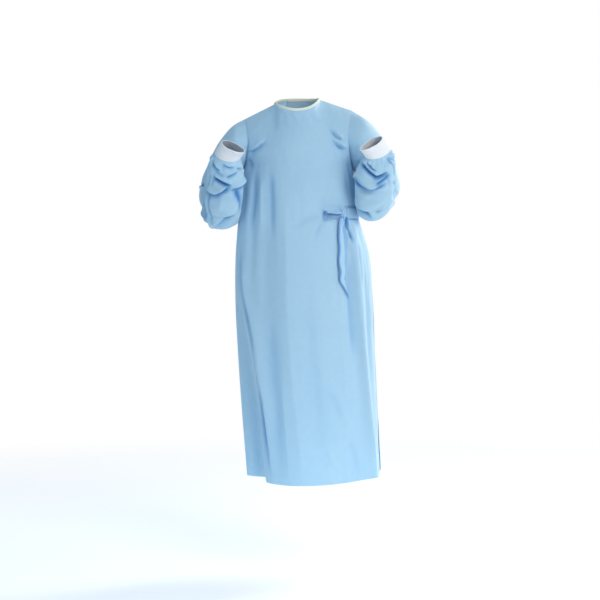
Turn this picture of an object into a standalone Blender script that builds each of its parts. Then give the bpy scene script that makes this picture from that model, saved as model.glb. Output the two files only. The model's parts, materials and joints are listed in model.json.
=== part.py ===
"""Surgical gown in its worn form, hollow and with nobody in it.

The gown is a wrap gown of nonwoven cloth: a front panel, two back panels that overlap, two
set-in sleeves with rib-knit cuffs, a bound neckline and a belt tied at the wearer's left hip.
Metres, +Z up. The front faces -Y, and +X is the wearer's left, so it is on the right in a front
view. The origin is between the shoulders, at the height where the neckline crosses them.

Every cloth piece is a grid of points on its outer face. Rows of a body panel run from the hem up
and its columns run across, from s = 0 at the wearer's right side to s = 1 at the left side.
"""

import math
from dataclasses import dataclass

import bpy
import numpy as np

# Cloth and seams
CLOTH = 0.0018  # wall of a panel or a sleeve
TAPE = 0.0015  # wall of the belt's tape
KNIT = 0.0016  # wall of a cuff under its ribs
BINDING = 0.0026  # the folded tape round the neck
SEAM_BACK = 0.0002  # each piece stops this far short of its seam line
OVERLAP_GAP = 0.0026  # air between the two back panels
RESTING_GAP = 0.0009  # air between a panel and what is sewn on it

# Heights
HEM_CENTRE, HEM_SIDE = -1.150, -1.138  # the hem hangs lower in front than at the sides
HEM_BACK = -1.132
ARMPIT = -0.198
BELT = -0.340

# Grid sizes
SKIRT_ROWS = 18  # from the hem to the armpit
YOKE_ROWS = 11  # from the armpit to the shoulder
SHOULDER_COLUMNS = 6  # along one shoulder seam
NECK_COLUMNS = 14  # along the front of the neckline
OUTER_COLUMNS, INNER_COLUMNS = 8, 5  # of the back panels, past the shoulder seam
ROWS = SKIRT_ROWS + YOKE_ROWS
ARMPIT_LEVEL = SKIRT_ROWS / ROWS
CLOSEST_COLUMN = 0.006  # between the columns of what lies on a panel
SLEEVE_RINGS = 25
SLEEVE_COLUMNS = 2 * YOKE_ROWS

# The body's outline at each height: its left and right edge, and its depth in front and behind
BODY_COLUMNS = "z left right front back"
BODY = (
    (-1.150, -0.152, 0.240, 0.104, 0.150),
    (-0.909, -0.171, 0.230, 0.121, 0.148),
    (-0.756, -0.181, 0.226, 0.130, 0.146),
    (-0.604, -0.188, 0.222, 0.140, 0.142),
    (-0.451, -0.186, 0.208, 0.147, 0.130),
    (-0.345, -0.176, 0.180, 0.147, 0.116),
    (-0.270, -0.169, 0.175, 0.149, 0.119),
    (-0.198, -0.158, 0.168, 0.144, 0.121),
)
ROUNDNESS = 0.82  # below 1 the sections are fuller than an ellipse

# The large folds. Each line runs down a panel through three points, top, middle and bottom, as
# (z, s). Lift is how far it stands out at those points, and left and right are how far it
# spreads to each side, in shares of the panel's width.
FOLD_COLUMNS = "z0 s0 z1 s1 z2 s2 lift0 lift1 lift2 left right"
FRONT_FOLDS = {
    "prow": (-0.30, 0.440, -0.75, 0.440, -1.15, 0.430, 0.010, 0.036, 0.064, 0.17, 0.20),
    "right_pleat_edge": (-0.50, 0.135, -0.76, 0.255, -1.15, 0.300, 0.002, 0.010, 0.014, 0.04, 0.10),
    "right_pleat": (-0.55, 0.080, -0.78, 0.160, -1.15, 0.205, -0.001, -0.022, -0.046, 0.11, 0.055),
    "right_chest": (-0.21, 0.245, -0.30, 0.238, -0.60, 0.230, -0.004, -0.008, -0.003, 0.035, 0.035),
    "right_rib": (-0.22, 0.335, -0.34, 0.330, -0.70, 0.330, -0.003, -0.006, -0.004, 0.040, 0.050),
    "left_ridge": (-0.41, 0.815, -0.62, 0.815, -1.15, 0.945, 0.007, 0.012, 0.010, 0.036, 0.045),
    "left_hollow": (-0.36, 0.735, -0.50, 0.755, -0.90, 0.780, -0.006, -0.007, -0.003, 0.04, 0.03),
    "left_side": (-0.38, 0.890, -0.60, 0.890, -1.00, 0.960, -0.004, -0.008, -0.002, 0.04, 0.03),
}
BACK_FOLDS = {
    "right_back": (-0.36, 0.18, -0.70, 0.17, -1.15, 0.16, 0.003, 0.010, 0.016, 0.07, 0.07),
    "right_trough": (-0.36, 0.32, -0.70, 0.31, -1.15, 0.30, -0.004, -0.010, -0.014, 0.07, 0.07),
    "middle_back": (-0.36, 0.46, -0.70, 0.46, -1.15, 0.45, 0.004, 0.010, 0.015, 0.08, 0.08),
    "left_trough": (-0.36, 0.62, -0.70, 0.62, -1.15, 0.60, -0.004, -0.009, -0.013, 0.08, 0.07),
    "left_back": (-0.36, 0.76, -0.70, 0.77, -1.15, 0.77, 0.003, 0.008, 0.012, 0.07, 0.07),
}
FOLD_FADE = 0.09  # a fold dies out over this height above its top
SEAM_CALM = 0.07  # folds flatten over this share of the width before a side seam

# Neck and shoulders
NECK_HALF, NECK_FRONT, NECK_REAR = 0.0700, -0.088, 0.056
NECK_SIDE_RIGHT, NECK_SIDE_LEFT = -0.0085, 0.0055
NECK_DIP_FRONT, NECK_RISE_REAR = -0.034, 0.006
SHOULDER_RIGHT = (-0.160, 0.004, -0.0530)
SHOULDER_LEFT = (0.166, 0.004, -0.0270)
SHOULDER_SHARE = 0.28  # of a panel's width, at each end of its top
# How steeply a panel's columns leave the armpit level and arrive at the top
LEAVE_ARMHOLE, ARRIVE_SHOULDER_POINT = (0.055, 0.30, 0.13), (0.045, 0.29, 0.15)
LEAVE_CHEST, LEAVE_BLADE = (0.0, -0.02, 0.20), (0.0, 0.03, 0.20)
ARRIVE_SHOULDER = (0.0, 0.20, 0.11)
ARRIVE_NECK_FRONT, ARRIVE_NECK_REAR = (0.0, 0.10, 0.15), (0.0, -0.06, 0.15)
ARMHOLE_REACH = 0.30  # share of the width over which the armhole shapes the columns

# The back panels' free edges, as s at each height of a panel's row (0 at the hem, 1 at the top)
OUTER_EDGE = ((0.0, 0.955), (0.45, 0.93), (0.56, 0.88), (0.66, 0.80), (0.80, 0.70), (1.0, 0.62))
INNER_EDGE = ((0.0, 0.30), (0.40, 0.31), (0.66, 0.36), (0.80, 0.40), (1.0, 0.44))
RISE_OVER = 0.10  # the outer panel climbs over the inner one's edge in this share of the width
STEP_OVER, STEP_START = 0.05, 1.3  # the same for a tape or tab that crosses the outer edge
FLARE_HEM, FLARE_SHARE, FLARE_TOP = 0.020, 0.16, 0.45

# Sleeve rings, from the shoulder to the cuff. in and out are the ring's points next to the body
# and away from it, seen from the front; y is its middle; pitch turns it about the line between
# the two points, from 0 for the upper arm to 150 degrees for the forearm, which comes forward
# and up; deep is its half size across that line.
RING_COLUMNS = "x_in z_in x_out z_out y pitch deep"
SLEEVE_LEFT = (
    (0.1720, -0.206, 0.205, -0.052, -0.002, 0, 0.087),
    (0.1765, -0.214, 0.252, -0.100, -0.004, 0, 0.079),
    (0.1800, -0.230, 0.283, -0.162, -0.008, 0, 0.072),
    (0.1830, -0.252, 0.304, -0.225, -0.014, 4, 0.065),
    (0.1860, -0.284, 0.309, -0.276, -0.024, 22, 0.051),
    (0.1880, -0.315, 0.303, -0.311, -0.044, 52, 0.045),
    (0.1890, -0.326, 0.297, -0.322, -0.080, 90, 0.043),
    (0.1870, -0.312, 0.293, -0.308, -0.112, 124, 0.043),
    (0.1840, -0.272, 0.292, -0.266, -0.137, 146, 0.045),
    (0.1840, -0.234, 0.292, -0.224, -0.156, 152, 0.045),
    (0.1890, -0.200, 0.288, -0.184, -0.173, 150, 0.042),
    (0.2000, -0.176, 0.272, -0.156, -0.185, 147, 0.034),
)
CUFF_LEFT = (
    (0.2000, -0.176, 0.272, -0.156, -0.185, 147, 0.034),
    (0.1930, -0.166, 0.262, -0.140, -0.203, 149, 0.030),
    (0.1830, -0.158, 0.249, -0.124, -0.224, 152, 0.030),
)
SLEEVE_RIGHT = (
    (0.1640, -0.207, 0.190, -0.072, -0.002, 0, 0.087),
    (0.1690, -0.216, 0.232, -0.118, -0.004, 0, 0.079),
    (0.1730, -0.234, 0.264, -0.176, -0.008, 0, 0.072),
    (0.1760, -0.262, 0.286, -0.240, -0.014, 4, 0.065),
    (0.1790, -0.302, 0.295, -0.296, -0.024, 22, 0.051),
    (0.1790, -0.334, 0.290, -0.332, -0.044, 52, 0.045),
    (0.1770, -0.345, 0.278, -0.343, -0.080, 90, 0.043),
    (0.1720, -0.328, 0.270, -0.326, -0.113, 124, 0.043),
    (0.1660, -0.284, 0.267, -0.282, -0.140, 148, 0.045),
    (0.1620, -0.242, 0.266, -0.236, -0.159, 153, 0.045),
    (0.1630, -0.206, 0.258, -0.196, -0.175, 150, 0.042),
    (0.1680, -0.181, 0.240, -0.167, -0.187, 146, 0.034),
)
CUFF_RIGHT = (
    (0.1680, -0.181, 0.240, -0.167, -0.187, 146, 0.034),
    (0.1600, -0.172, 0.230, -0.152, -0.205, 148, 0.030),
    (0.1510, -0.164, 0.219, -0.137, -0.226, 151, 0.030),
)
# The sleeves' large folds: where along the sleeve (0 armhole, 1 cuff), where round it (turns from
# the armpit side, over the front), how far it climbs along the sleeve per turn, its spread both
# ways and its lift.
SLEEVE_FOLD_COLUMNS = "along round climb spread_along spread_round lift"
SLEEVE_FOLDS = {
    "elbow_cup": (0.615, 0.74, 0.00, 0.030, 0.15, 0.009),
    "elbow_crease": (0.665, 0.76, 0.05, 0.018, 0.14, -0.010),
    "forearm_roll": (0.715, 0.74, -0.06, 0.024, 0.15, 0.009),
    "forearm_crease": (0.775, 0.76, 0.06, 0.018, 0.14, -0.009),
    "wrist_roll": (0.835, 0.75, 0.00, 0.028, 0.18, 0.006),
    "outer_crease": (0.470, 0.52, 0.00, 0.022, 0.10, -0.007),
    "inner_crook": (0.600, 0.25, 0.00, 0.035, 0.14, -0.003),
    "shoulder_drag": (0.250, 0.30, 0.10, 0.030, 0.12, -0.005),
}

# Cuffs, neck binding and neck tab
CUFF_RIBS, RIB_HEIGHT, CUFF_RINGS = 44, 0.0007, 3
BINDING_WIDTH, BINDING_LEAN = 0.0075, 0.40
TAB_S, TAB_LEVELS, TAB_WALL = (0.52, 0.68), (0.885, 0.935), 0.0014

# Belt
TAPE_WIDTH = 0.031
KNOT_S = 0.762
KNOT_SIZE = (0.020, 0.017, 0.024)
KNOT_OFF = 0.0091  # the knot's middle, out from the panel
KNOT_ROUNDING, KNOT_TAPER = 0.88, 0.10  # how round its ends are, how much narrower its top is
KNOT_SIDES, KNOT_ROWS = 12, 7
ANCHOR_FROM_S = 0.635
STRAP_END_S = 0.79  # where the belt's tape ends, sewn on the outer back panel
LOOP_LENGTH, LOOP_OPEN, LOOP_BELOW = 0.050, 0.014, 0.006  # its length as seen from the front
LOOP_OFF, LOOP_TILT, LOOP_NARROW = 0.0144, math.radians(22), 0.75
LOOP_ROOT = (0.35, 0.72)  # its opening and its width at the knot, as shares of the full ones
# A tail's centre line: its distance below the knot's middle, across from it and off the panel,
# its width there, and its turn in degrees
TAIL_COLUMNS = "down across off width turn"
TAIL_FRONT = (
    (0.0125, -0.003, 0.0080, 0.014, 0),
    (0.035, -0.007, 0.0068, 0.024, 2),
    (0.080, -0.008, 0.0062, 0.029, -4),
    (0.125, -0.008, 0.0065, 0.031, 4),
    (0.170, -0.008, 0.0070, 0.030, -6),
    (0.205, -0.006, 0.0085, 0.027, 10),
    (0.232, 0.003, 0.0100, 0.024, 34),
)
TAIL_BACK = (
    (0.0125, 0.003, 0.0035, 0.012, 0),
    (0.035, 0.002, 0.0018, 0.022, -2),
    (0.080, 0.001, 0.0016, 0.028, 2),
    (0.140, 0.000, 0.0016, 0.030, -2),
    (0.200, -0.001, 0.0018, 0.030, 0),
)
TAIL_CELLS, TAIL_ROWS = 4, 16

GOWN_BLUE = (0.345, 0.590, 0.800, 1.0)
CUFF_WHITE = (0.860, 0.850, 0.860, 1.0)
BINDING_CREAM = (0.840, 0.860, 0.700, 1.0)


def named(columns, row):
    """One row of a table, as a dictionary of its named columns."""
    return dict(zip(columns.split(), row, strict=True))


def smoothstep(value):
    """0 below 0, 1 above 1, and an S-shaped curve between."""
    t = np.clip(value, 0.0, 1.0)
    return t * t * (3 - 2 * t)


def hermite(start, leave, end, arrive, t):
    """The cubic curve from start to end with the given end tangents, at t from 0 to 1."""
    t = np.asarray(t)
    return (
        (1 + 2 * t) * (1 - t) ** 2 * start
        + t * (1 - t) ** 2 * leave
        + t * t * (3 - 2 * t) * end
        + t * t * (t - 1) * arrive
    )


def read(keys, values, where):
    """Values read off a smooth curve through (keys, values), whose keys rise."""
    keys, values = np.asarray(keys, float), np.asarray(values, float)
    slopes = np.gradient(values, keys, axis=0)
    where = np.asarray(where, float)
    i = np.clip(np.searchsorted(keys, where) - 1, 0, len(keys) - 2)
    span = keys[i + 1] - keys[i]
    t = np.clip((where - keys[i]) / span, 0.0, 1.0)
    extra = (1,) * (values.ndim - 1)
    t, span = t.reshape(t.shape + extra), span.reshape(span.shape + extra)
    return hermite(values[i], span * slopes[i], values[i + 1], span * slopes[i + 1], t)


def body_at(z, column):
    """One column of the body's table at a height."""
    index = BODY_COLUMNS.split().index(column)
    table = np.array(BODY)
    return read(table[:, 0], table[:, index], z)


def unit(vectors):
    """Vectors of length 1 along the last axis."""
    return vectors / np.linalg.norm(vectors, axis=-1, keepdims=True)


def fold_lift(folds, s, z):
    """How far the folds together move the cloth out at (s, z)."""
    lift = np.zeros(np.broadcast(s, z).shape)
    for row in folds.values():
        f = named(FOLD_COLUMNS, row)
        heights = (f["z2"], f["z1"], f["z0"])
        line = read(heights, (f["s2"], f["s1"], f["s0"]), z)
        size = read(heights, (f["lift2"], f["lift1"], f["lift0"]), z)
        spread = np.where(s < line, f["left"], f["right"])
        fade = smoothstep(1 - (z - f["z0"]) / FOLD_FADE)
        lift = lift + size * fade * np.exp(-(((s - line) / spread) ** 2))
    return lift * smoothstep(s / SEAM_CALM) * smoothstep((1 - s) / SEAM_CALM)


def body_point(s, z, front):
    """Points on the body's outer face below the armpit."""
    s, z = np.broadcast_arrays(np.asarray(s, float), np.asarray(z, float))
    left, right = body_at(z, "left"), body_at(z, "right")
    depth = body_at(z, "front" if front else "back")
    side = -1.0 if front else 1.0
    middle, half = (left + right) / 2, (right - left) / 2
    angle = math.pi * s
    bulge = np.maximum(np.sin(angle), 0.0) ** ROUNDNESS
    outward = unit(np.stack([-np.cos(angle) / half, side * np.sin(angle) / depth], axis=-1))
    off = fold_lift(FRONT_FOLDS if front else BACK_FOLDS, s, z)
    x = middle - half * np.cos(angle) + off * outward[..., 0]
    y = side * depth * bulge + off * outward[..., 1]
    return np.stack([x, y, z], axis=-1)


def hem_height(s, front):
    """The hem's height across a panel."""
    middle = HEM_CENTRE if front else HEM_BACK
    return HEM_SIDE + (middle - HEM_SIDE) * np.sin(math.pi * s) ** 2


def top_edge(s, front):
    """The panel's top: a shoulder seam, the neckline, and the other shoulder seam."""
    s = np.asarray(s, float)
    turn = np.clip((s - SHOULDER_SHARE) / (1 - 2 * SHOULDER_SHARE), 0.0, 1.0) * math.pi
    reach, drop = (NECK_FRONT, NECK_DIP_FRONT) if front else (NECK_REAR, NECK_RISE_REAR)
    side_height = NECK_SIDE_RIGHT + (NECK_SIDE_LEFT - NECK_SIDE_RIGHT) * turn / math.pi
    middle_height = side_height + (drop - side_height) * np.sin(turn) ** 1.4
    neck = np.stack([-NECK_HALF * np.cos(turn), reach * np.sin(turn), middle_height], axis=-1)
    neck_right = np.array([-NECK_HALF, 0.0, NECK_SIDE_RIGHT])
    neck_left = np.array([NECK_HALF, 0.0, NECK_SIDE_LEFT])
    along_right = np.clip(s / SHOULDER_SHARE, 0, 1)[..., None]
    along_left = np.clip((1 - s) / SHOULDER_SHARE, 0, 1)[..., None]
    right = np.array(SHOULDER_RIGHT) + (neck_right - np.array(SHOULDER_RIGHT)) * along_right
    left = np.array(SHOULDER_LEFT) + (neck_left - np.array(SHOULDER_LEFT)) * along_left
    on_right, on_left = (s < SHOULDER_SHARE)[..., None], (s > 1 - SHOULDER_SHARE)[..., None]
    return np.where(on_right, right, np.where(on_left, left, neck))


def end_tangents(s, front):
    """The directions in which the panel's columns leave the armpit level and reach the top."""
    side = -1.0 if front else 1.0
    inward = np.where(s < 0.5, 1.0, -1.0)
    armhole = smoothstep(1 - np.minimum(s, 1 - s) / ARMHOLE_REACH)[..., None]
    neck = smoothstep((np.minimum(s, 1 - s) - SHOULDER_SHARE * 0.6) / SHOULDER_SHARE)[..., None]
    ones = np.ones_like(s)

    def spread(x, y, z):
        return np.stack([inward * x, ones * y, ones * z], axis=-1)

    leave_side = spread(LEAVE_ARMHOLE[0], side * LEAVE_ARMHOLE[1], LEAVE_ARMHOLE[2])
    arrive_point = spread(
        -ARRIVE_SHOULDER_POINT[0], -side * ARRIVE_SHOULDER_POINT[1], ARRIVE_SHOULDER_POINT[2]
    )
    leave_middle = spread(*(LEAVE_CHEST if front else LEAVE_BLADE))
    arrive_seam = spread(0.0, -side * ARRIVE_SHOULDER[1], ARRIVE_SHOULDER[2])
    arrive_neck = spread(*(ARRIVE_NECK_FRONT if front else ARRIVE_NECK_REAR))
    arrive_middle = arrive_seam + (arrive_neck - arrive_seam) * neck
    leave = leave_middle + (leave_side - leave_middle) * armhole
    arrive = arrive_middle + (arrive_point - arrive_middle) * armhole
    return leave, arrive


def panel_point(s, level, front):
    """Points of a body panel at s across it and a level from 0 at the hem to 1 at its top."""
    s, level = np.broadcast_arrays(np.asarray(s, float), np.asarray(level, float))
    hem = hem_height(s, front)
    low = np.clip(level / ARMPIT_LEVEL, 0.0, 1.0)
    skirt = body_point(s, hem + (ARMPIT - hem) * low, front)
    high = np.clip((level - ARMPIT_LEVEL) / (1 - ARMPIT_LEVEL), 0.0, 1.0)[..., None]
    base = body_point(s, np.full(s.shape, ARMPIT), front)
    leave, arrive = end_tangents(s, front)
    yoke = hermite(base, leave, top_edge(s, front), arrive, high)
    return np.where((level > ARMPIT_LEVEL)[..., None], yoke, skirt)


@dataclass
class Panel:
    """A body panel: its outer face as a grid, and what lies on it."""

    front: bool
    shares: np.ndarray  # of the width between its two edges, one for each column
    edges: tuple  # two tables of (level, s), of its edge at share 0 and at share 1

    def __post_init__(self):
        share, level = np.meshgrid(self.shares, np.arange(ROWS + 1) / ROWS)
        first, last = self.edge(0, level), self.edge(1, level)
        self.s = first + share * (last - first)
        self.level = level
        self.grid = panel_point(self.s, level, self.front)
        self.normals = normals_of(self.grid, flip=not self.front)

    def edge(self, which, level):
        """The s of one edge at a level."""
        return read(*zip(*self.edges[which]), level)

    def lift(self, amount):
        """Moves the panel out of the body along its normals."""
        self.grid = self.grid + amount[..., None] * self.normals
        self.normals = normals_of(self.grid, flip=not self.front)

    def columns_from(self, start, end, level):
        """The panel's own columns between two values of s at a level, with both ends."""
        first, last = self.edge(0, level), self.edge(1, level)
        own = first + self.shares * (last - first)
        low, high = min(start, end), max(start, end)
        between = own[(own > low + CLOSEST_COLUMN) & (own < high - CLOSEST_COLUMN)]
        ordered = np.concatenate([[low], between, [high]])
        return ordered if start < end else ordered[::-1]

    def level_at(self, s, z):
        """The level of a height on the panel below the armpit."""
        hem = hem_height(s, self.front)
        return (z - hem) / (ARMPIT - hem) * ARMPIT_LEVEL

    def laid_on(self, s, level, out):
        """Points on the panel's own cells at s and a level, moved out of it."""
        s, level, out = np.broadcast_arrays(s, level, out)
        first, last = self.edge(0, level), self.edge(1, level)
        share = (s - first) / (last - first)
        column = np.interp(share, self.shares, np.arange(len(self.shares)))
        row = np.clip(level, 0, 1) * ROWS
        i = np.clip(column.astype(int), 0, len(self.shares) - 2)
        j = np.clip(row.astype(int), 0, ROWS - 1)
        u, v = (column - i)[..., None], (row - j)[..., None]

        def mixed(values):
            below = values[j, i] * (1 - u) + values[j, i + 1] * u
            above = values[j + 1, i] * (1 - u) + values[j + 1, i + 1] * u
            return below * (1 - v) + above * v

        return mixed(self.grid) + out[..., None] * unit(mixed(self.normals))

    def at_height(self, s, z, out):
        """Points laid on the panel at a height below the armpit."""
        return self.laid_on(s, self.level_at(s, z), out)


def front_columns():
    """The front panel's columns, dense enough along the shoulders and the neckline."""
    shoulder = np.linspace(0, SHOULDER_SHARE, SHOULDER_COLUMNS + 1)
    neck = np.linspace(SHOULDER_SHARE, 1 - SHOULDER_SHARE, NECK_COLUMNS + 1)[1:-1]
    return np.concatenate([shoulder, neck, 1 - shoulder[::-1]])


def edge_columns(top_share, past_shoulder):
    """A back panel's columns as shares of its width, from its side seam to its free edge."""
    shoulder = np.linspace(0, SHOULDER_SHARE / top_share, SHOULDER_COLUMNS + 1)
    return np.concatenate([shoulder, np.linspace(shoulder[-1], 1, past_shoulder + 1)[1:]])


def outer_lift(s, level):
    """How far the outer back panel stands off the inner one's face, with its flared edge."""
    rise = smoothstep((s - read(*zip(*INNER_EDGE), level)) / RISE_OVER + 1.25)
    flare = FLARE_HEM * smoothstep(1 - level / FLARE_TOP)
    edge = read(*zip(*OUTER_EDGE), level)
    return (CLOTH + OVERLAP_GAP) * rise + flare * smoothstep((s - edge) / FLARE_SHARE + 1)


def body_panels():
    """The front panel, the outer back panel and the inner one."""
    right_side, left_side = ((0.0, 0.0), (1.0, 0.0)), ((0.0, 1.0), (1.0, 1.0))
    front = Panel(True, front_columns(), (right_side, left_side))
    outer_shares = edge_columns(OUTER_EDGE[-1][1], OUTER_COLUMNS)
    outer = Panel(False, outer_shares, (right_side, OUTER_EDGE))
    outer.lift(outer_lift(outer.s, outer.level))
    inner_shares = 1 - edge_columns(1 - INNER_EDGE[-1][1], INNER_COLUMNS)[::-1]
    inner = Panel(False, inner_shares, (INNER_EDGE, left_side))
    return front, outer, inner


def armhole(front, back, column):
    """The armhole's loop: from the armpit up the front panel's edge and down the back one's."""
    up = front[SKIRT_ROWS:, column]
    down = back[SKIRT_ROWS:, column]
    return np.concatenate([up, down[-2:0:-1]])


def ring_of(row, side, columns):
    """One ring of a sleeve or cuff, from the body side over the front."""
    r = named(RING_COLUMNS, row)
    inner = np.array([side * r["x_in"], r["y"], r["z_in"]])
    outer = np.array([side * r["x_out"], r["y"], r["z_out"]])
    pitch = math.radians(r["pitch"])
    forward = np.array([0.0, -math.cos(pitch), math.sin(pitch)])
    turn = 2 * math.pi * np.arange(columns)[:, None] / columns
    middle, across = (inner + outer) / 2, (inner - outer) / 2
    return middle + np.cos(turn) * across + np.sin(turn) * r["deep"] * forward


def spaced_rings(rings, count):
    """Count + 1 rings on smooth curves through the given ones, evenly spaced along their middle."""
    rings = np.array(rings)
    steps = np.linalg.norm(np.diff(rings.mean(axis=1), axis=0), axis=1)
    along = np.concatenate([[0], np.cumsum(steps)]) / steps.sum()
    return read(along, rings, np.linspace(0, 1, count + 1))


def sleeve_grid(loop, table, side):
    """A sleeve's outer face, from the armhole's loop to the cuff, with its large folds."""
    rings = [loop] + [ring_of(row, side, SLEEVE_COLUMNS) for row in table]
    grid = spaced_rings(rings, SLEEVE_RINGS)
    along = np.linspace(0, 1, SLEEVE_RINGS + 1)[:, None]
    round_it = np.arange(SLEEVE_COLUMNS)[None, :] / SLEEVE_COLUMNS
    lift = np.zeros(grid.shape[:2])
    for row in SLEEVE_FOLDS.values():
        f = named(SLEEVE_FOLD_COLUMNS, row)
        away = (round_it - f["round"] + 0.5) % 1.0 - 0.5
        across = (along - f["along"] - f["climb"] * away) / f["spread_along"]
        lift = lift + f["lift"] * np.exp(-(across**2) - (away / f["spread_round"]) ** 2)
    return grid + lift[..., None] * normals_of(grid, closed=True, flip=side > 0)


def cuff_grid(table, side):
    """A cuff's plain outer face."""
    columns = 2 * CUFF_RIBS
    return spaced_rings([ring_of(row, side, columns) for row in table], CUFF_RINGS)


def normals_of(grid, closed=False, flip=False):
    """Outward normals of a grid whose columns run round or across and rows along."""
    down = np.gradient(grid, axis=0)
    if closed:
        across = (np.roll(grid, -1, axis=1) - np.roll(grid, 1, axis=1)) / 2
    else:
        across = np.gradient(grid, axis=1)
    normals = unit(np.cross(across, down))
    return -normals if flip else normals


def share_normals(*borders, weights=None):
    """Gives the pieces that meet at a seam one normal, so that their walls meet face to face."""
    weights = weights or (1.0,) * len(borders)
    total = unit(sum(w * normals[index] for w, (normals, index) in zip(weights, borders)))
    for normals, index in borders:
        normals[index] = total


def square_off(grid, normals, row):
    """Turns the normals of a tube's end ring into the ring's own plane."""
    normals[row] = unit(grid[row] - grid[row].mean(axis=0))


def pull_back(grid, side):
    """Moves one border of a grid towards its inside, to leave the gap of a seam."""
    border, inside = {
        "bottom": (np.s_[0], np.s_[1]),
        "top": (np.s_[-1], np.s_[-2]),
        "first": (np.s_[:, 0], np.s_[:, 1]),
        "last": (np.s_[:, -1], np.s_[:, -2]),
    }[side]
    along = unit(np.gradient(grid[border], axis=0))
    inwards = grid[inside] - grid[border]
    inwards -= (inwards * along).sum(axis=-1, keepdims=True) * along
    grid[border] += SEAM_BACK * unit(inwards)


def faces_of(grid, closed):
    """The triangles of a wall's two faces and its rims, for outer points and then inner ones."""
    rows, columns = grid.shape[:2]
    behind = rows * columns
    faces = []
    last = columns if closed else columns - 1
    for j in range(rows - 1):
        for i in range(last):
            k = (i + 1) % columns
            a, b, c, d = j * columns + i, j * columns + k, (j + 1) * columns + k, (j + 1) * columns + i
            rising = np.linalg.norm(grid[j, i] - grid[j + 1, k])
            falling = np.linalg.norm(grid[j, k] - grid[j + 1, i])
            pair = ((a, b, c), (a, c, d)) if rising < falling else ((a, b, d), (b, c, d))
            faces += pair
            faces += [tuple(behind + n for n in reversed(face)) for face in pair]
    top = (rows - 1) * columns
    for i in range(last):
        k = (i + 1) % columns
        faces.append((k, i, behind + i, behind + k))
        faces.append((top + i, top + k, behind + top + k, behind + top + i))
    if not closed:
        for j in range(rows - 1):
            a, b = j * columns, (j + 1) * columns
            faces.append((a, b, behind + b, behind + a))
            a, b = a + columns - 1, b + columns - 1
            faces.append((b, a, behind + a, behind + b))
    return faces


def wall(name, grid, normals, thickness, material, closed=False, flip=False, relief=0.0):
    """A cloth piece: its outer face, raised by relief, and a plain inner face under it."""
    outer = grid + np.asarray(relief)[..., None] * normals
    points = np.concatenate([outer.reshape(-1, 3), (grid - thickness * normals).reshape(-1, 3)])
    faces = faces_of(grid, closed)
    if flip:
        faces = [tuple(reversed(face)) for face in faces]
    mesh = bpy.data.meshes.new(name)
    mesh.from_pydata(points.tolist(), [], faces)
    mesh.shade_smooth()
    mesh.set_sharp_from_angle(angle=math.radians(50))
    mesh.materials.append(material)
    made = bpy.data.objects.new(name, mesh)
    bpy.context.scene.collection.objects.link(made)
    return made


def material(name, colour, roughness):
    """A plain cloth finish."""
    made = bpy.data.materials.new(name)
    made.use_nodes = True
    shader = made.node_tree.nodes["Principled BSDF"]
    shader.inputs["Base Color"].default_value = colour
    shader.inputs["Roughness"].default_value = roughness
    shader.inputs["Metallic"].default_value = 0.0
    return made


def body_and_sleeves(front, outer, inner, cloth):
    """The three body panels and the two sleeves, whose seams share their normals."""
    sleeves = {}
    for side, column, back, table in ((-1, 0, outer, SLEEVE_RIGHT), (1, -1, inner, SLEEVE_LEFT)):
        grid = sleeve_grid(armhole(front.grid, back.grid, column), table, side)
        normals = normals_of(grid, closed=True, flip=side > 0)
        square_off(grid, normals, -1)
        low = np.s_[:SKIRT_ROWS]
        share_normals((front.normals, (low, column)), (back.normals, (low, column)))
        corners = ((SKIRT_ROWS, 0), (ROWS, YOKE_ROWS))
        for row, turn in corners:
            share_normals(
                (front.normals, (row, column)),
                (back.normals, (row, column)),
                (normals, (0, turn)),
                weights=(0.5, 0.5, 1.0),
            )
        for k in range(1, YOKE_ROWS):
            row = (SKIRT_ROWS + k, column)
            share_normals((front.normals, row), (normals, (0, k)))
            share_normals((back.normals, row), (normals, (0, SLEEVE_COLUMNS - k)))
        step = 1 if column == 0 else -1
        for k in range(1, SHOULDER_COLUMNS + 1):
            place = (ROWS, column + step * k)
            share_normals((front.normals, place), (back.normals, place))
        sleeves[side] = grid, normals
    for side, (grid, normals) in sleeves.items():
        pull_back(grid, "bottom")
        pull_back(grid, "top")
        grid[0, :, 0] += side * SEAM_BACK
        name = "sleeve_left" if side > 0 else "sleeve_right"
        wall(name, grid, normals, CLOTH, cloth, closed=True, flip=side > 0)
    panels = (
        ("front_panel", front, ("top", "first", "last")),
        ("back_panel_outer", outer, ("top", "first")),
        ("back_panel_inner", inner, ("top", "last")),
    )
    for name, panel, seams in panels:
        grid = panel.grid.copy()
        for seam in seams:
            pull_back(grid, seam)
        wall(name, grid, panel.normals, CLOTH, cloth, flip=not panel.front)


def cuffs(knit):
    """The two rib-knit cuffs."""
    for name, table, side in (("cuff_right", CUFF_RIGHT, -1), ("cuff_left", CUFF_LEFT, 1)):
        grid = cuff_grid(table, side)
        normals = normals_of(grid, closed=True, flip=side > 0)
        square_off(grid, normals, 0)
        pull_back(grid, "bottom")
        ribs = RIB_HEIGHT * (np.arange(2 * CUFF_RIBS) % 2)
        relief = np.broadcast_to(ribs, grid.shape[:2])
        wall(name, grid, normals, KNIT, knit, closed=True, flip=side > 0, relief=relief)


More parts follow.
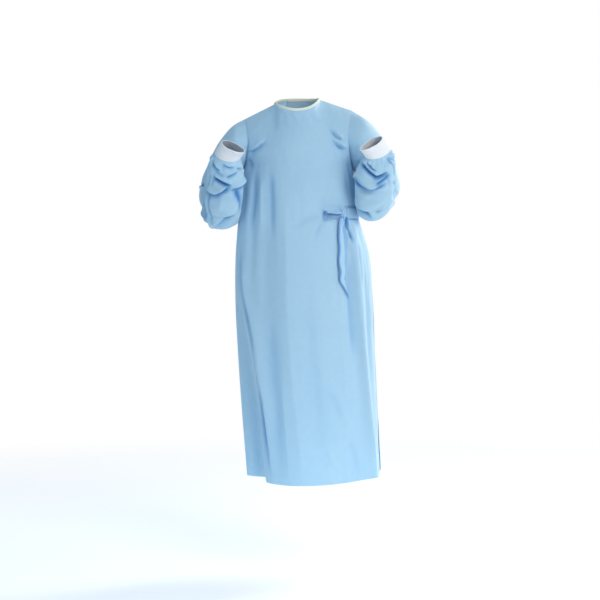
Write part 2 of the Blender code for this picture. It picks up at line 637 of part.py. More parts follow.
def neck_binding(front, outer, inner, tape):
    """The binding that stands on the neckline, from the outer panel's edge to the inner one's."""
    neck = np.s_[SHOULDER_COLUMNS : SHOULDER_COLUMNS + NECK_COLUMNS + 1]
    edge = np.concatenate(
        [
            outer.grid[-1, :SHOULDER_COLUMNS:-1],
            front.grid[-1, neck],
            inner.grid[-1, INNER_COLUMNS - 1 :: -1],
        ]
    )
    lean = unit(edge * np.array([-1.0, -1.0, 0.0]) + np.array([0.0, -0.016, 0.0]))
    rise = unit(lean * BINDING_LEAN + np.array([0.0, 0.0, 1.0]))
    rows = [edge + (SEAM_BACK + BINDING_WIDTH * share) * rise for share in (0.0, 0.55, 1.0)]
    grid = np.stack(rows)
    normals = normals_of(grid)
    proud = (BINDING - CLOTH) / 2
    wall("neck_binding", grid + proud * normals, normals, BINDING, tape)


def over_outer(s, level):
    """1 where something laid on the inner panel climbs over the outer panel's edge."""
    return smoothstep((read(*zip(*OUTER_EDGE), level) - s) / STEP_OVER + STEP_START)


def neck_tab(inner, cloth):
    """The closing tab on the outer back panel's corner, over its edge on to the inner panel."""
    middle = sum(TAB_LEVELS) / 2
    s, level = np.meshgrid(inner.columns_from(*TAB_S, middle), np.linspace(*TAB_LEVELS, 3))
    over = (CLOTH + OVERLAP_GAP + RESTING_GAP) * over_outer(s, level)
    grid = inner.laid_on(s, level, TAB_WALL + RESTING_GAP + over)
    wall("neck_tab", grid, normals_of(grid, flip=True), TAB_WALL, cloth, flip=True)


def belt_strips(front, inner, cloth):
    """The tape from the knot round the side to the outer panel, and the tape sewn in front."""
    heights = BELT + np.linspace(-TAPE_WIDTH / 2, TAPE_WIDTH / 2, 3)
    off = TAPE + RESTING_GAP
    level = front.level_at(KNOT_S, BELT)
    beside = KNOT_SIZE[0] / 2 + RESTING_GAP
    before, after = (s_at(knot_x(front) + step, BELT) for step in (-beside, beside))
    s, z = np.meshgrid(front.columns_from(after, 1.0, level), heights)
    on_front = front.at_height(s, z, off)
    s, z = np.meshgrid(inner.columns_from(1.0, STRAP_END_S, level)[1:], heights)
    over = (CLOTH + OVERLAP_GAP + RESTING_GAP) * over_outer(s, level)
    on_back = inner.at_height(s, z, off + over)
    grid = np.concatenate([on_front, on_back], axis=1)
    wall("belt_strap", grid, normals_of(grid), TAPE, cloth)
    s, z = np.meshgrid(front.columns_from(ANCHOR_FROM_S, before, level), heights)
    grid = front.at_height(s, z, off)
    wall("belt_anchor", grid, normals_of(grid), TAPE, cloth)


def s_at(x, z):
    """The s of a place across the front, between the body's left and right edge at its height."""
    left, right = body_at(z, "left"), body_at(z, "right")
    return np.arccos((left + right - 2 * x) / (right - left)) / math.pi


def knot_x(front):
    """Where the knot lies across the front."""
    return front.at_height(KNOT_S, BELT, 0.0)[0]


def belt_knot(front, cloth):
    """The knot: a rounded lump, a little wider below than above."""
    columns, rows = KNOT_SIDES, KNOT_ROWS
    turn = 2 * math.pi * np.arange(columns) / columns
    lift = np.linspace(-1, 1, rows)
    width = (1 - KNOT_TAPER * lift) * np.sqrt(1 - (KNOT_ROUNDING * lift) ** 2)
    x = np.outer(width, np.cos(turn)) * KNOT_SIZE[0] / 2
    y = np.outer(width, np.sin(turn)) * KNOT_SIZE[1] / 2
    z = np.outer(lift, np.ones(columns)) * KNOT_SIZE[2] / 2
    middle = front.at_height(KNOT_S, BELT, KNOT_OFF)
    points = (np.stack([x, y, z], axis=-1) + middle).reshape(-1, 3)
    faces = [
        (j * columns + i, j * columns + (i + 1) % columns,
         (j + 1) * columns + (i + 1) % columns, (j + 1) * columns + i)
        for j in range(rows - 1)
        for i in range(columns)
    ]
    faces.append(tuple(reversed(range(columns))))
    faces.append(tuple(range((rows - 1) * columns, rows * columns)))
    mesh = bpy.data.meshes.new("belt_knot")
    mesh.from_pydata(points.tolist(), [], faces)
    mesh.shade_smooth()
    mesh.materials.append(cloth)
    bpy.context.scene.collection.objects.link(bpy.data.objects.new("belt_knot", mesh))


def belt_loop(front, cloth):
    """The bow's one loop, which points away from the side seam."""
    turn = np.linspace(0, math.pi, 9)
    straight = np.linspace(0, 1, 6)[:-1]
    reach = LOOP_LENGTH - LOOP_OPEN / 2
    root_open, root_width = LOOP_ROOT
    opening = root_open + (1 - root_open) * straight
    upper = np.stack([reach * straight, LOOP_OPEN / 2 * opening], axis=-1)
    end = np.stack([reach + LOOP_OPEN / 2 * np.sin(turn), LOOP_OPEN / 2 * np.cos(turn)], axis=-1)
    lower = upper[::-1] * np.array([1.0, -1.0])
    along, height = np.concatenate([upper, end, lower]).T
    height = height - LOOP_BELOW * smoothstep(along / (0.4 * LOOP_LENGTH))
    across = np.linspace(-0.5, 0.5, 3)[:, None] * TAPE_WIDTH * LOOP_NARROW
    across = across * (root_width + (1 - root_width) * smoothstep(2 * along / LOOP_LENGTH))
    beside = KNOT_SIZE[0] / 2 + RESTING_GAP
    z = BELT + height + across * math.sin(LOOP_TILT)
    s = s_at(knot_x(front) - beside - along, z)
    grid = front.at_height(s, z, LOOP_OFF - across * math.cos(LOOP_TILT))
    wall("belt_loop", grid, normals_of(grid), TAPE, cloth)


def belt_tail(name, table, front, cloth):
    """A free end of the belt, hanging from the knot against the front panel."""
    listed = named(TAIL_COLUMNS, np.transpose(table))
    down = np.linspace(listed["down"][0], listed["down"][-1], TAIL_ROWS + 1)[::-1]
    at = {key: read(listed["down"], values, down)[:, None] for key, values in listed.items()}
    share = np.linspace(-0.5, 0.5, TAIL_CELLS + 1) * at["width"]
    swing = np.radians(at["turn"])
    z = BELT - at["down"] - share * np.sin(swing)
    x = knot_x(front) + at["across"] + share * np.cos(swing)
    grid = front.at_height(s_at(x, z), z, TAPE + at["off"])
    wall(name, grid, normals_of(grid), TAPE, cloth)


def main():
    """Clears the scene and makes the gown's pieces."""
    for old in list(bpy.data.objects):
        bpy.data.objects.remove(old)
    cloth = material("gown_cloth", GOWN_BLUE, 0.75)
    knit = material("cuff_knit", CUFF_WHITE, 0.90)
    tape = material("neck_tape", BINDING_CREAM, 0.85)
    front, outer, inner = body_panels()
    body_and_sleeves(front, outer, inner, cloth)
    cuffs(knit)
    neck_binding(front, outer, inner, tape)
    neck_tab(inner, cloth)
    belt_strips(front, inner, cloth)
    belt_knot(front, cloth)
    belt_loop(front, cloth)
    belt_tail("belt_tail_front", TAIL_FRONT, front, cloth)
    belt_tail("belt_tail_back", TAIL_BACK, front, cloth)


main()
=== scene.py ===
"""Looks of the surgical gown: fine cloth with its creases, knit cuffs, binding, belt and stitches.

Every cloth piece is a thin shell on the form of its solid. The form comes from the same named sizes
and short tables as the solids, sampled finer, and the creases are listed one by one and placed on
it. Metres, +Z up, the front faces -Y and the wearer's left is +X.
"""

import json
import logging
import math
from collections.abc import Callable, Sequence
from dataclasses import dataclass, field
from enum import Enum

import bpy
import numpy as np
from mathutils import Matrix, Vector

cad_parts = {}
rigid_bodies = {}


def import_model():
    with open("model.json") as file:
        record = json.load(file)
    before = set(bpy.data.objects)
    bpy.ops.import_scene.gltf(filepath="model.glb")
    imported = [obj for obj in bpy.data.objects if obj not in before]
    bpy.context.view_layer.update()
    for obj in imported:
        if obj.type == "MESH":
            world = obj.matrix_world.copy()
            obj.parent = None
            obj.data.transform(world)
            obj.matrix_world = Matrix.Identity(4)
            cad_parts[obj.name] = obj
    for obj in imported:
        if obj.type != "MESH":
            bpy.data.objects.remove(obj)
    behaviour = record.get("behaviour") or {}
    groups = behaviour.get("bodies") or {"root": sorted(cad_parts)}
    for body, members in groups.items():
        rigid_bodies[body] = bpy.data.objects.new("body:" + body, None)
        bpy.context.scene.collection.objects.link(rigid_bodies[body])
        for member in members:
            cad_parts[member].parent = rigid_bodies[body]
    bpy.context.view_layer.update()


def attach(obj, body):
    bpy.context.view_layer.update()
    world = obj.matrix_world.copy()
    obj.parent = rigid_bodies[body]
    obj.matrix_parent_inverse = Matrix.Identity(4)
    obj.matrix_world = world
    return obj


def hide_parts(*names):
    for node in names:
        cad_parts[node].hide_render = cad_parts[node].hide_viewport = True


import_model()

LOG = logging.getLogger("gown")
MERGE = 1e-6  # metres between points that become one
SHADE = "shade"  # the attribute that holds each point's painted shade, mostly in creases and hollows
SMOOTH_ANGLE = math.radians(60)
SEWING_PLY = 0.0003
Array = np.ndarray
Colour = tuple[float, float, float, float]
Row = tuple[float, ...]
Table = tuple[Row, ...]


class Profile(Enum):
    """How a crease is shaped across its line."""

    SOFT = "soft"
    CRISP = "crisp"
    FOLD = "fold"


class Side(Enum):
    """A side of the gown, as the wearer has it, and its sign along X."""

    RIGHT = -1
    LEFT = 1


def smoothstep(value: Array | float) -> Array:
    """0 below 0, 1 above 1, and an S-shaped curve between."""
    t = np.clip(value, 0.0, 1.0)
    return t * t * (3 - 2 * t)


def hermite(start: Array, leave: Array, end: Array, arrive: Array, t: Array) -> Array:
    """The cubic curve from start to end with the given end tangents, at t from 0 to 1."""
    return (
        (1 + 2 * t) * (1 - t) ** 2 * start
        + t * (1 - t) ** 2 * leave
        + t * t * (3 - 2 * t) * end
        + t * t * (t - 1) * arrive
    )


def read(keys: Sequence[float], values: Sequence, where: Array | float) -> Array:
    """Reads values off a smooth curve through its keys.

    Args:
        keys: Places along the curve, rising.
        values: The value, or the array of values, at each key.
        where: Places to read.

    Returns:
        The values there, held at the first and last one past the ends.
    """
    keys, values = np.asarray(keys, float), np.asarray(values, float)
    slopes = np.gradient(values, keys, axis=0)
    where = np.asarray(where, float)
    i = np.clip(np.searchsorted(keys, where) - 1, 0, len(keys) - 2)
    span = keys[i + 1] - keys[i]
    t = np.clip((where - keys[i]) / span, 0.0, 1.0)
    extra = (1,) * (values.ndim - 1)
    t, span = t.reshape(t.shape + extra), span.reshape(span.shape + extra)
    return hermite(values[i], span * slopes[i], values[i + 1], span * slopes[i + 1], t)


def unit(vectors: Array) -> Array:
    """Vectors of length 1 along the last axis."""
    return vectors / np.linalg.norm(vectors, axis=-1, keepdims=True)


def grid_normals(grid: Array, closed: bool = False, flip: bool = False) -> Array:
    """Outward normals of a grid.

    Args:
        grid: Points in rows that run along the piece and columns that run across or round it.
        closed: Whether the last column is followed by the first.
        flip: Whether the grid's own turn gives inward normals.

    Returns:
        One unit vector for each point.
    """
    along = np.gradient(grid, axis=0)
    if closed:
        across = (np.roll(grid, -1, axis=1) - np.roll(grid, 1, axis=1)) / 2
    else:
        across = np.gradient(grid, axis=1)
    normals = unit(np.cross(across, along))
    return -normals if flip else normals


def hash_wave(x: Array, y: Array, seed: float) -> Array:
    """A smooth wandering value from about -1 to 1, from a few crossed waves."""
    total = np.zeros(np.broadcast(x, y).shape)
    for k in range(1, 6):
        turn = seed * 1.7 + 2.4 * k
        wave = x * math.cos(turn) + y * math.sin(turn)
        total = total + np.sin(wave * (0.7 + 0.45 * k) + seed * 3.1 * k) / (0.6 + 0.4 * k)
    return total / 2.4


@dataclass(frozen=True)
class BodyForm:
    """The gown's body: one surface for its front and one for its back, from hem to shoulder."""

    hem_centre: float = -1.150
    hem_side: float = -1.138
    hem_back: float = -1.132
    hem_corner: float = 0.022  # the hem's rise to the left side seam
    corner_from: float = 0.90
    armpit: float = -0.198
    armpit_level: float = 18 / 29
    roundness: float = 0.82
    # z left right front back
    outline: Table = (
        (-1.150, -0.152, 0.2545, 0.104, 0.150),
        (-0.909, -0.171, 0.2415, 0.121, 0.148),
        (-0.756, -0.181, 0.2350, 0.130, 0.146),
        (-0.604, -0.188, 0.2300, 0.140, 0.142),
        (-0.451, -0.186, 0.2170, 0.147, 0.130),
        (-0.345, -0.1775, 0.1860, 0.147, 0.116),
        (-0.270, -0.1710, 0.1790, 0.149, 0.119),
        (-0.198, -0.1595, 0.1695, 0.144, 0.121),
    )
    # z0 s0 z1 s1 z2 s2 lift0 lift1 lift2 left right
    front_folds: Table = (
        (-0.30, 0.440, -0.75, 0.440, -1.15, 0.430, 0.010, 0.036, 0.064, 0.17, 0.20),
        (-0.50, 0.135, -0.76, 0.255, -1.15, 0.300, 0.002, 0.010, 0.014, 0.04, 0.10),
        (-0.55, 0.080, -0.78, 0.160, -1.15, 0.205, -0.001, -0.022, -0.046, 0.11, 0.055),
        (-0.21, 0.245, -0.30, 0.238, -0.60, 0.230, -0.004, -0.008, -0.003, 0.035, 0.035),
        (-0.22, 0.335, -0.34, 0.330, -0.70, 0.330, -0.003, -0.006, -0.004, 0.040, 0.050),
        (-0.41, 0.797, -0.62, 0.796, -1.15, 0.867, 0.007, 0.012, 0.010, 0.036, 0.045),
        (-0.36, 0.728, -0.50, 0.738, -0.90, 0.757, -0.006, -0.007, -0.003, 0.04, 0.03),
        (-0.38, 0.868, -0.60, 0.859, -1.00, 0.881, -0.004, -0.008, -0.002, 0.04, 0.03),
    )
    back_folds: Table = (
        (-0.36, 0.18, -0.70, 0.17, -1.15, 0.16, 0.003, 0.010, 0.016, 0.07, 0.07),
        (-0.36, 0.32, -0.70, 0.31, -1.15, 0.30, -0.004, -0.010, -0.014, 0.07, 0.07),
        (-0.36, 0.46, -0.70, 0.46, -1.15, 0.45, 0.004, 0.010, 0.015, 0.08, 0.08),
        (-0.36, 0.62, -0.70, 0.62, -1.15, 0.60, -0.004, -0.009, -0.013, 0.08, 0.07),
        (-0.36, 0.76, -0.70, 0.77, -1.15, 0.77, 0.003, 0.008, 0.012, 0.07, 0.07),
    )
    fold_fade: float = 0.09
    seam_calm: float = 0.07
    neck_half: float = 0.0700
    neck_front: float = -0.088
    neck_rear: float = 0.056
    neck_sides: tuple[float, float] = (-0.0085, 0.0055)
    neck_dip: float = -0.034
    neck_rise: float = 0.006
    shoulders: Table = ((-0.160, 0.004, -0.0530), (0.166, 0.004, -0.0270))
    shoulder_share: float = 0.28
    armhole_reach: float = 0.30
    leave_armhole: Row = (0.055, 0.30, 0.13)
    arrive_shoulder_point: Row = (0.045, 0.29, 0.15)
    leave_chest: Row = (0.0, -0.02, 0.20)
    leave_blade: Row = (0.0, 0.03, 0.20)
    arrive_shoulder: Row = (0.0, 0.20, 0.11)
    arrive_neck_front: Row = (0.0, 0.10, 0.15)
    arrive_neck_rear: Row = (0.0, -0.06, 0.15)
    # level s
    outer_edge: Table = (
        (0.0, 0.955), (0.45, 0.93), (0.56, 0.88), (0.66, 0.80), (0.80, 0.70), (1.0, 0.62),
    )
    inner_edge: Table = ((0.0, 0.30), (0.40, 0.31), (0.66, 0.36), (0.80, 0.40), (1.0, 0.44))
    lap: float = 0.0044  # one wall and the air under the outer back panel
    rise_over: float = 0.10
    flare: Row = (0.003, 0.16, 0.45)

    def outline_at(self, z: Array, column: int) -> Array:
        """One column of the outline's table at a height."""
        table = np.array(self.outline)
        return read(table[:, 0], table[:, column], z)

    def fold_lift(self, folds: Table, s: Array, z: Array) -> Array:
        """How far the large folds together move the cloth out at (s, z)."""
        lift = np.zeros(np.broadcast(s, z).shape)
        for z0, s0, z1, s1, z2, s2, lift0, lift1, lift2, left, right in folds:
            line = read((z2, z1, z0), (s2, s1, s0), z)
            size = read((z2, z1, z0), (lift2, lift1, lift0), z)
            spread = np.where(s < line, left, right)
            fade = smoothstep(1 - (z - z0) / self.fold_fade)
            lift = lift + size * fade * np.exp(-(((s - line) / spread) ** 2))
        return lift * smoothstep(s / self.seam_calm) * smoothstep((1 - s) / self.seam_calm)

    def skirt_point(self, s: Array, z: Array, front: bool) -> Array:
        """Points on the body's outer face below the armpit."""
        s, z = np.broadcast_arrays(np.asarray(s, float), np.asarray(z, float))
        left, right = self.outline_at(z, 1), self.outline_at(z, 2)
        depth = self.outline_at(z, 3 if front else 4)
        side = -1.0 if front else 1.0
        middle, half = (left + right) / 2, (right - left) / 2
        angle = math.pi * s
        bulge = np.maximum(np.sin(angle), 0.0) ** self.roundness
        outward = unit(np.stack([-np.cos(angle) / half, side * np.sin(angle) / depth], axis=-1))
        off = self.fold_lift(self.front_folds if front else self.back_folds, s, z)
        x = middle - half * np.cos(angle) + off * outward[..., 0]
        y = side * depth * bulge + off * outward[..., 1]
        return np.stack([x, y, z], axis=-1)

    def hem_height(self, s: Array, front: bool) -> Array:
        """The hem's height across a panel."""
        middle = self.hem_centre if front else self.hem_back
        corner = self.hem_corner * smoothstep((s - self.corner_from) / (1 - self.corner_from))
        return self.hem_side + (middle - self.hem_side) * np.sin(math.pi * s) ** 2 + corner

    def top_edge(self, s: Array, front: bool) -> Array:
        """A panel's top: a shoulder seam, the neckline, and the other shoulder seam."""
        share = self.shoulder_share
        turn = np.clip((s - share) / (1 - 2 * share), 0.0, 1.0) * math.pi
        reach, drop = (self.neck_front, self.neck_dip) if front else (self.neck_rear, self.neck_rise)
        low, high = self.neck_sides
        side_height = low + (high - low) * turn / math.pi
        height = side_height + (drop - side_height) * np.sin(turn) ** 1.4
        neck = np.stack([-self.neck_half * np.cos(turn), reach * np.sin(turn), height], axis=-1)
        ends = (np.array([-self.neck_half, 0.0, low]), np.array([self.neck_half, 0.0, high]))
        right, left = (np.array(point) for point in self.shoulders)
        along_right = np.clip(s / share, 0, 1)[..., None]
        along_left = np.clip((1 - s) / share, 0, 1)[..., None]
        right = right + (ends[0] - right) * along_right
        left = left + (ends[1] - left) * along_left
        on_right, on_left = (s < share)[..., None], (s > 1 - share)[..., None]
        return np.where(on_right, right, np.where(on_left, left, neck))

    def end_tangents(self, s: Array, front: bool) -> tuple[Array, Array]:
        """How a panel's columns leave the armpit level and arrive at its top."""
        side = -1.0 if front else 1.0
        inward = np.where(s < 0.5, 1.0, -1.0)
        from_seam = np.minimum(s, 1 - s)
        armhole = smoothstep(1 - from_seam / self.armhole_reach)[..., None]
        neck = smoothstep((from_seam - self.shoulder_share * 0.6) / self.shoulder_share)[..., None]
        ones = np.ones_like(s)

        def spread(x: float, y: float, z: float) -> Array:
            return np.stack([inward * x, ones * y, ones * z], axis=-1)

        x, y, z = self.leave_armhole
        leave_side = spread(x, side * y, z)
        x, y, z = self.arrive_shoulder_point
        arrive_point = spread(-x, -side * y, z)
        leave_middle = spread(*(self.leave_chest if front else self.leave_blade))
        x, y, z = self.arrive_shoulder
        arrive_seam = spread(x, -side * y, z)
        arrive_neck = spread(*(self.arrive_neck_front if front else self.arrive_neck_rear))
        arrive_middle = arrive_seam + (arrive_neck - arrive_seam) * neck
        leave = leave_middle + (leave_side - leave_middle) * armhole
        arrive = arrive_middle + (arrive_point - arrive_middle) * armhole
        return leave, arrive

    def panel_point(self, s: Array, level: Array, front: bool) -> Array:
        """Points of a body panel at s across it and a level from 0 at the hem to 1 at its top."""
        s, level = np.broadcast_arrays(np.asarray(s, float), np.asarray(level, float))
        hem = self.hem_height(s, front)
        low = np.clip(level / self.armpit_level, 0.0, 1.0)
        skirt = self.skirt_point(s, hem + (self.armpit - hem) * low, front)
        high = np.clip((level - self.armpit_level) / (1 - self.armpit_level), 0.0, 1.0)[..., None]
        base = self.skirt_point(s, np.full(s.shape, self.armpit), front)
        leave, arrive = self.end_tangents(s, front)
        yoke = hermite(base, leave, self.top_edge(s, front), arrive, high)
        return np.where((level > self.armpit_level)[..., None], yoke, skirt)

    def level_of(self, s: Array, z: Array, front: bool) -> Array:
        """The level of a height on a panel below the armpit."""
        hem = self.hem_height(np.asarray(s, float), front)
        return (z - hem) / (self.armpit - hem) * self.armpit_level

    def s_at(self, x: Array, z: Array) -> Array:
        """The s of a place across the front, between the body's edges at its height."""
        left, right = self.outline_at(z, 1), self.outline_at(z, 2)
        return np.arccos((left + right - 2 * x) / (right - left)) / math.pi

    def lap_lift(self, s: Array, level: Array) -> Array:
        """How far the outer back panel stands off the inner one's face, with its flared edge."""
        rise = smoothstep((s - read(*zip(*self.inner_edge), level)) / self.rise_over + 1.25)
        size, share, top = self.flare
        edge = read(*zip(*self.outer_edge), level)
        flare = size * smoothstep(1 - level / top)
        return self.lap * rise + flare * smoothstep((s - edge) / share + 1)

    def over_outer(self, s: Array, level: Array) -> Array:
        """1 where what is laid on the inner back panel climbs over the outer panel's edge."""
        return smoothstep((read(*zip(*self.outer_edge), level) - s) / 0.05 + 1.3)


@dataclass(frozen=True)
class Crease:
    """One trough or ridge: a smooth line on a piece, with a depth and a width that die out at its ends.

    Its path is a list of places in the piece's own two directions, across and along. Lift is its
    height in metres, below 0 for a trough, and width its half width. Taper is the share of its
    length over which each end dies out. A fold is a trough with a roll beside it, on the left of
    its path as seen from outside. Its trough gets painted shade, scaled by tone, and weaker for
    creases shallower than full_depth.
    """

    path: tuple[tuple[float, float], ...]
    lift: float
    width: float
    profile: Profile = Profile.SOFT
    taper: float = 0.35
    tone: float = 1.0
    full_depth: float = 0.0075

    def line(self, place: Callable[[Array, Array], Array]) -> Array:
        """The crease's line on a surface, as points in space."""
        keys = np.linspace(0, 1, len(self.path))
        across, along = np.transpose(read(keys, self.path, np.linspace(0, 1, 15)))
        return place(across, along)

    def shape(self, ratio: Array) -> Array:
        """The crease's height across its line, at signed distances in widths."""
        if self.profile is Profile.SOFT:
            return np.exp(-(ratio**2))
        if self.profile is Profile.CRISP:
            return np.exp(-(np.sqrt(ratio**2 * 2.2 + 0.02) - 0.02**0.5))
        trough = -1.15 * np.exp(-(np.sqrt(ratio**2 * 1.5 + 0.01) - 0.1))
        climb = -1.15 + 2.05 * smoothstep(ratio / 0.75)
        roll = 0.9 * np.exp(-(((ratio - 0.75) / 1.5) ** 2))
        return np.where(ratio < 0, trough, np.where(ratio < 0.75, climb, roll))

    def hollow(self, ratio: Array) -> Array:
        """How much painted shade the crease lays on, from 0 to 1, at signed distances in widths: most in its
        trough.
        """
        if self.profile is Profile.FOLD:
            line = np.exp(-(((ratio - 0.10) / 0.42) ** 2))
            return line + 0.42 * np.exp(-(((ratio + 0.7) / 0.95) ** 2))
        return (self.lift < 0) * 0.6 * np.exp(-((ratio * 1.1) ** 2))

    def lift_at(self, cloth: "Cloth", place: Callable[[Array, Array], Array]) -> tuple[Array, Array]:
        """How far the crease moves each point of a piece along its normal, and how much painted shade it lays
        there.

        Args:
            cloth: The piece's points and normals.
            place: The function that turns two directions of the piece into a point.

        Returns:
            One distance and one share of painted shade from 0 to 1 for each point.
        """
        line = self.line(place)
        reach = 3.6 * self.width
        low, high = line.min(axis=0) - reach, line.max(axis=0) + reach
        near = np.all((cloth.grid > low) & (cloth.grid < high), axis=-1)
        chosen, normals = cloth.grid[near], cloth.normals[near]
        nearest = np.full(len(chosen), np.inf)
        signed, share = np.zeros(len(chosen)), np.zeros(len(chosen))
        count = len(line) - 1
        for k in range(count):
            step = line[k + 1] - line[k]
            t = np.clip(((chosen - line[k]) @ step) / (step @ step), 0, 1)
            away = chosen - line[k] - t[:, None] * step
            gap = np.linalg.norm(away, axis=-1)
            left = np.sign(np.einsum("ij,ij->i", np.cross(normals, step), away))
            closer = gap < nearest
            nearest = np.where(closer, gap, nearest)
            signed = np.where(closer, gap * left, signed)
            share = np.where(closer, (k + t) / count, share)
        ends = smoothstep(share / self.taper) * smoothstep((1 - share) / self.taper)
        lift, shade = np.zeros(cloth.grid.shape[:2]), np.zeros(cloth.grid.shape[:2])
        lift[near] = self.lift * ends * self.shape(signed / self.width)
        # painted shade along the trough, weaker for shallow creases and scaled by tone
        deep = min(1.0, abs(self.lift) / self.full_depth) ** 1.6 * self.tone
        shade[near] = ends * np.clip(deep * self.hollow(signed / self.width), 0.0, 1.0)
        return lift, shade


@dataclass
class Cloth:
    """A grid of points on a piece's outer face, with its normals, its painted shade, and how it becomes a
    mesh.
    """

    grid: Array
    closed: bool = False
    flip: bool = False
    normals: Array = field(init=False)
    shade: Array = field(init=False)

    def __post_init__(self) -> None:
        """Works out the normals."""
        self.normals = grid_normals(self.grid, self.closed, self.flip)
        self.shade = np.zeros(self.grid.shape[:2])

    def move(self, amount: Array) -> None:
        """Moves the cloth out along its normals."""
        self.grid = self.grid + amount[..., None] * self.normals
        self.normals = grid_normals(self.grid, self.closed, self.flip)

    def darken(self, amount: Array) -> None:
        """Paints shade into the colour, where light hardly gets in, by shares from 0 to 1."""
        self.shade = 1 - (1 - self.shade) * (1 - np.clip(amount, 0.0, 1.0))

    def crease(self, creases: Sequence[Crease], place: Callable[[Array, Array], Array]) -> Array:
        """Paints shade into the cloth's creases, and gives how far they together move each point."""
        total = np.zeros(self.grid.shape[:2])
        for crease in creases:
            lift, shade = crease.lift_at(self, place)
            total = total + lift
            self.darken(shade)
        return total

    def at(self, column: Array, row: Array, out: Array | float) -> Array:
        """Points between the grid's own, at a column and a row, moved out along the normal there.

        Args:
            column: Places across, in columns, which run on round a closed piece.
            row: Places along, in rows.
            out: Distances out of the face.

        Returns:
            One point for each place.
        """
        rows, columns = self.grid.shape[:2]
        column, row, out = np.broadcast_arrays(column, row, out)
        i = np.floor(column).astype(int)
        if not self.closed:
            i = np.clip(i, 0, columns - 2)
        j = np.clip(np.floor(row).astype(int), 0, rows - 2)
        u, v = (column - i)[..., None], (row - j)[..., None]
        left, right = i % columns, (i + 1) % columns

        def mixed(values: Array) -> Array:
            below = values[j, left] * (1 - u) + values[j, right] * u
            above = values[j + 1, left] * (1 - u) + values[j + 1, right] * u
            return below * (1 - v) + above * v

        return mixed(self.grid) + out[..., None] * unit(mixed(self.normals))

    def flat_size(self) -> tuple[Array, Array]:
        """Distances across and along the cloth at each column and row, from its first ones."""
        across = np.linalg.norm(np.diff(self.grid, axis=1), axis=-1).mean(axis=0)
        along = np.linalg.norm(np.diff(self.grid, axis=0), axis=-1).mean(axis=1)
        return np.concatenate([[0], np.cumsum(across)]), np.concatenate([[0], np.cumsum(along)])

    def area(self) -> float:
        """The area of the cloth's outer face, in square metres."""
        grid = np.concatenate([self.grid, self.grid[:, :1]], axis=1) if self.closed else self.grid
        across, along = np.diff(grid, axis=1)[:-1], np.diff(grid, axis=0)[:, :-1]
        return float(np.linalg.norm(np.cross(across, along), axis=-1).sum())

    def sew(self, name: str, thickness: float) -> bpy.types.Object:
        """Makes the cloth a mesh: a grid whose points take their places, with a wall's thickness.

        Args:
            name: The new object's name.
            thickness: The cloth's thickness, laid inside its outer face.

        Returns:
            The finished object, with a UV map in metres.
        """
        if self.closed:
            points = np.concatenate([self.grid, self.grid[:, :1]], axis=1)
            shade = np.concatenate([self.shade, self.shade[:, :1]], axis=1)
            sample = Cloth(points)
        else:
            points, shade, sample = self.grid, self.shade, self
        rows, columns = points.shape[:2]
        bpy.ops.object.select_all(action="DESELECT")
        bpy.ops.mesh.primitive_grid_add(x_subdivisions=columns - 1, y_subdivisions=rows - 1, size=1)
        piece = bpy.context.object
        piece.name = piece.data.name = name
        mesh = piece.data
        mesh.vertices.foreach_set("co", points.astype(np.float32).ravel())
        across, along = sample.flat_size()
        corners = np.empty(len(mesh.loops), dtype=np.int32)
        mesh.loops.foreach_get("vertex_index", corners)
        flat = np.stack([across[corners % columns], along[corners // columns]], axis=-1)
        mesh.uv_layers.active.data.foreach_set("uv", flat.astype(np.float32).ravel())
        # the painted shade, which the material reads as an attribute
        tone = mesh.attributes.new(SHADE, "FLOAT", "POINT")
        tone.data.foreach_set("value", shade.astype(np.float32).ravel())
        bpy.ops.object.mode_set(mode="EDIT")
        bpy.ops.mesh.select_all(action="SELECT")
        if self.closed:
            bpy.ops.mesh.remove_doubles(threshold=MERGE)
        if self.flip:
            bpy.ops.mesh.flip_normals()
        bpy.ops.object.mode_set(mode="OBJECT")
        wall = piece.modifiers.new("wall", "SOLIDIFY")
        wall.thickness, wall.offset = thickness, -1.0
        bpy.ops.object.modifier_apply(modifier=wall.name)
        bpy.ops.object.shade_smooth_by_angle(angle=SMOOTH_ANGLE)
        return piece



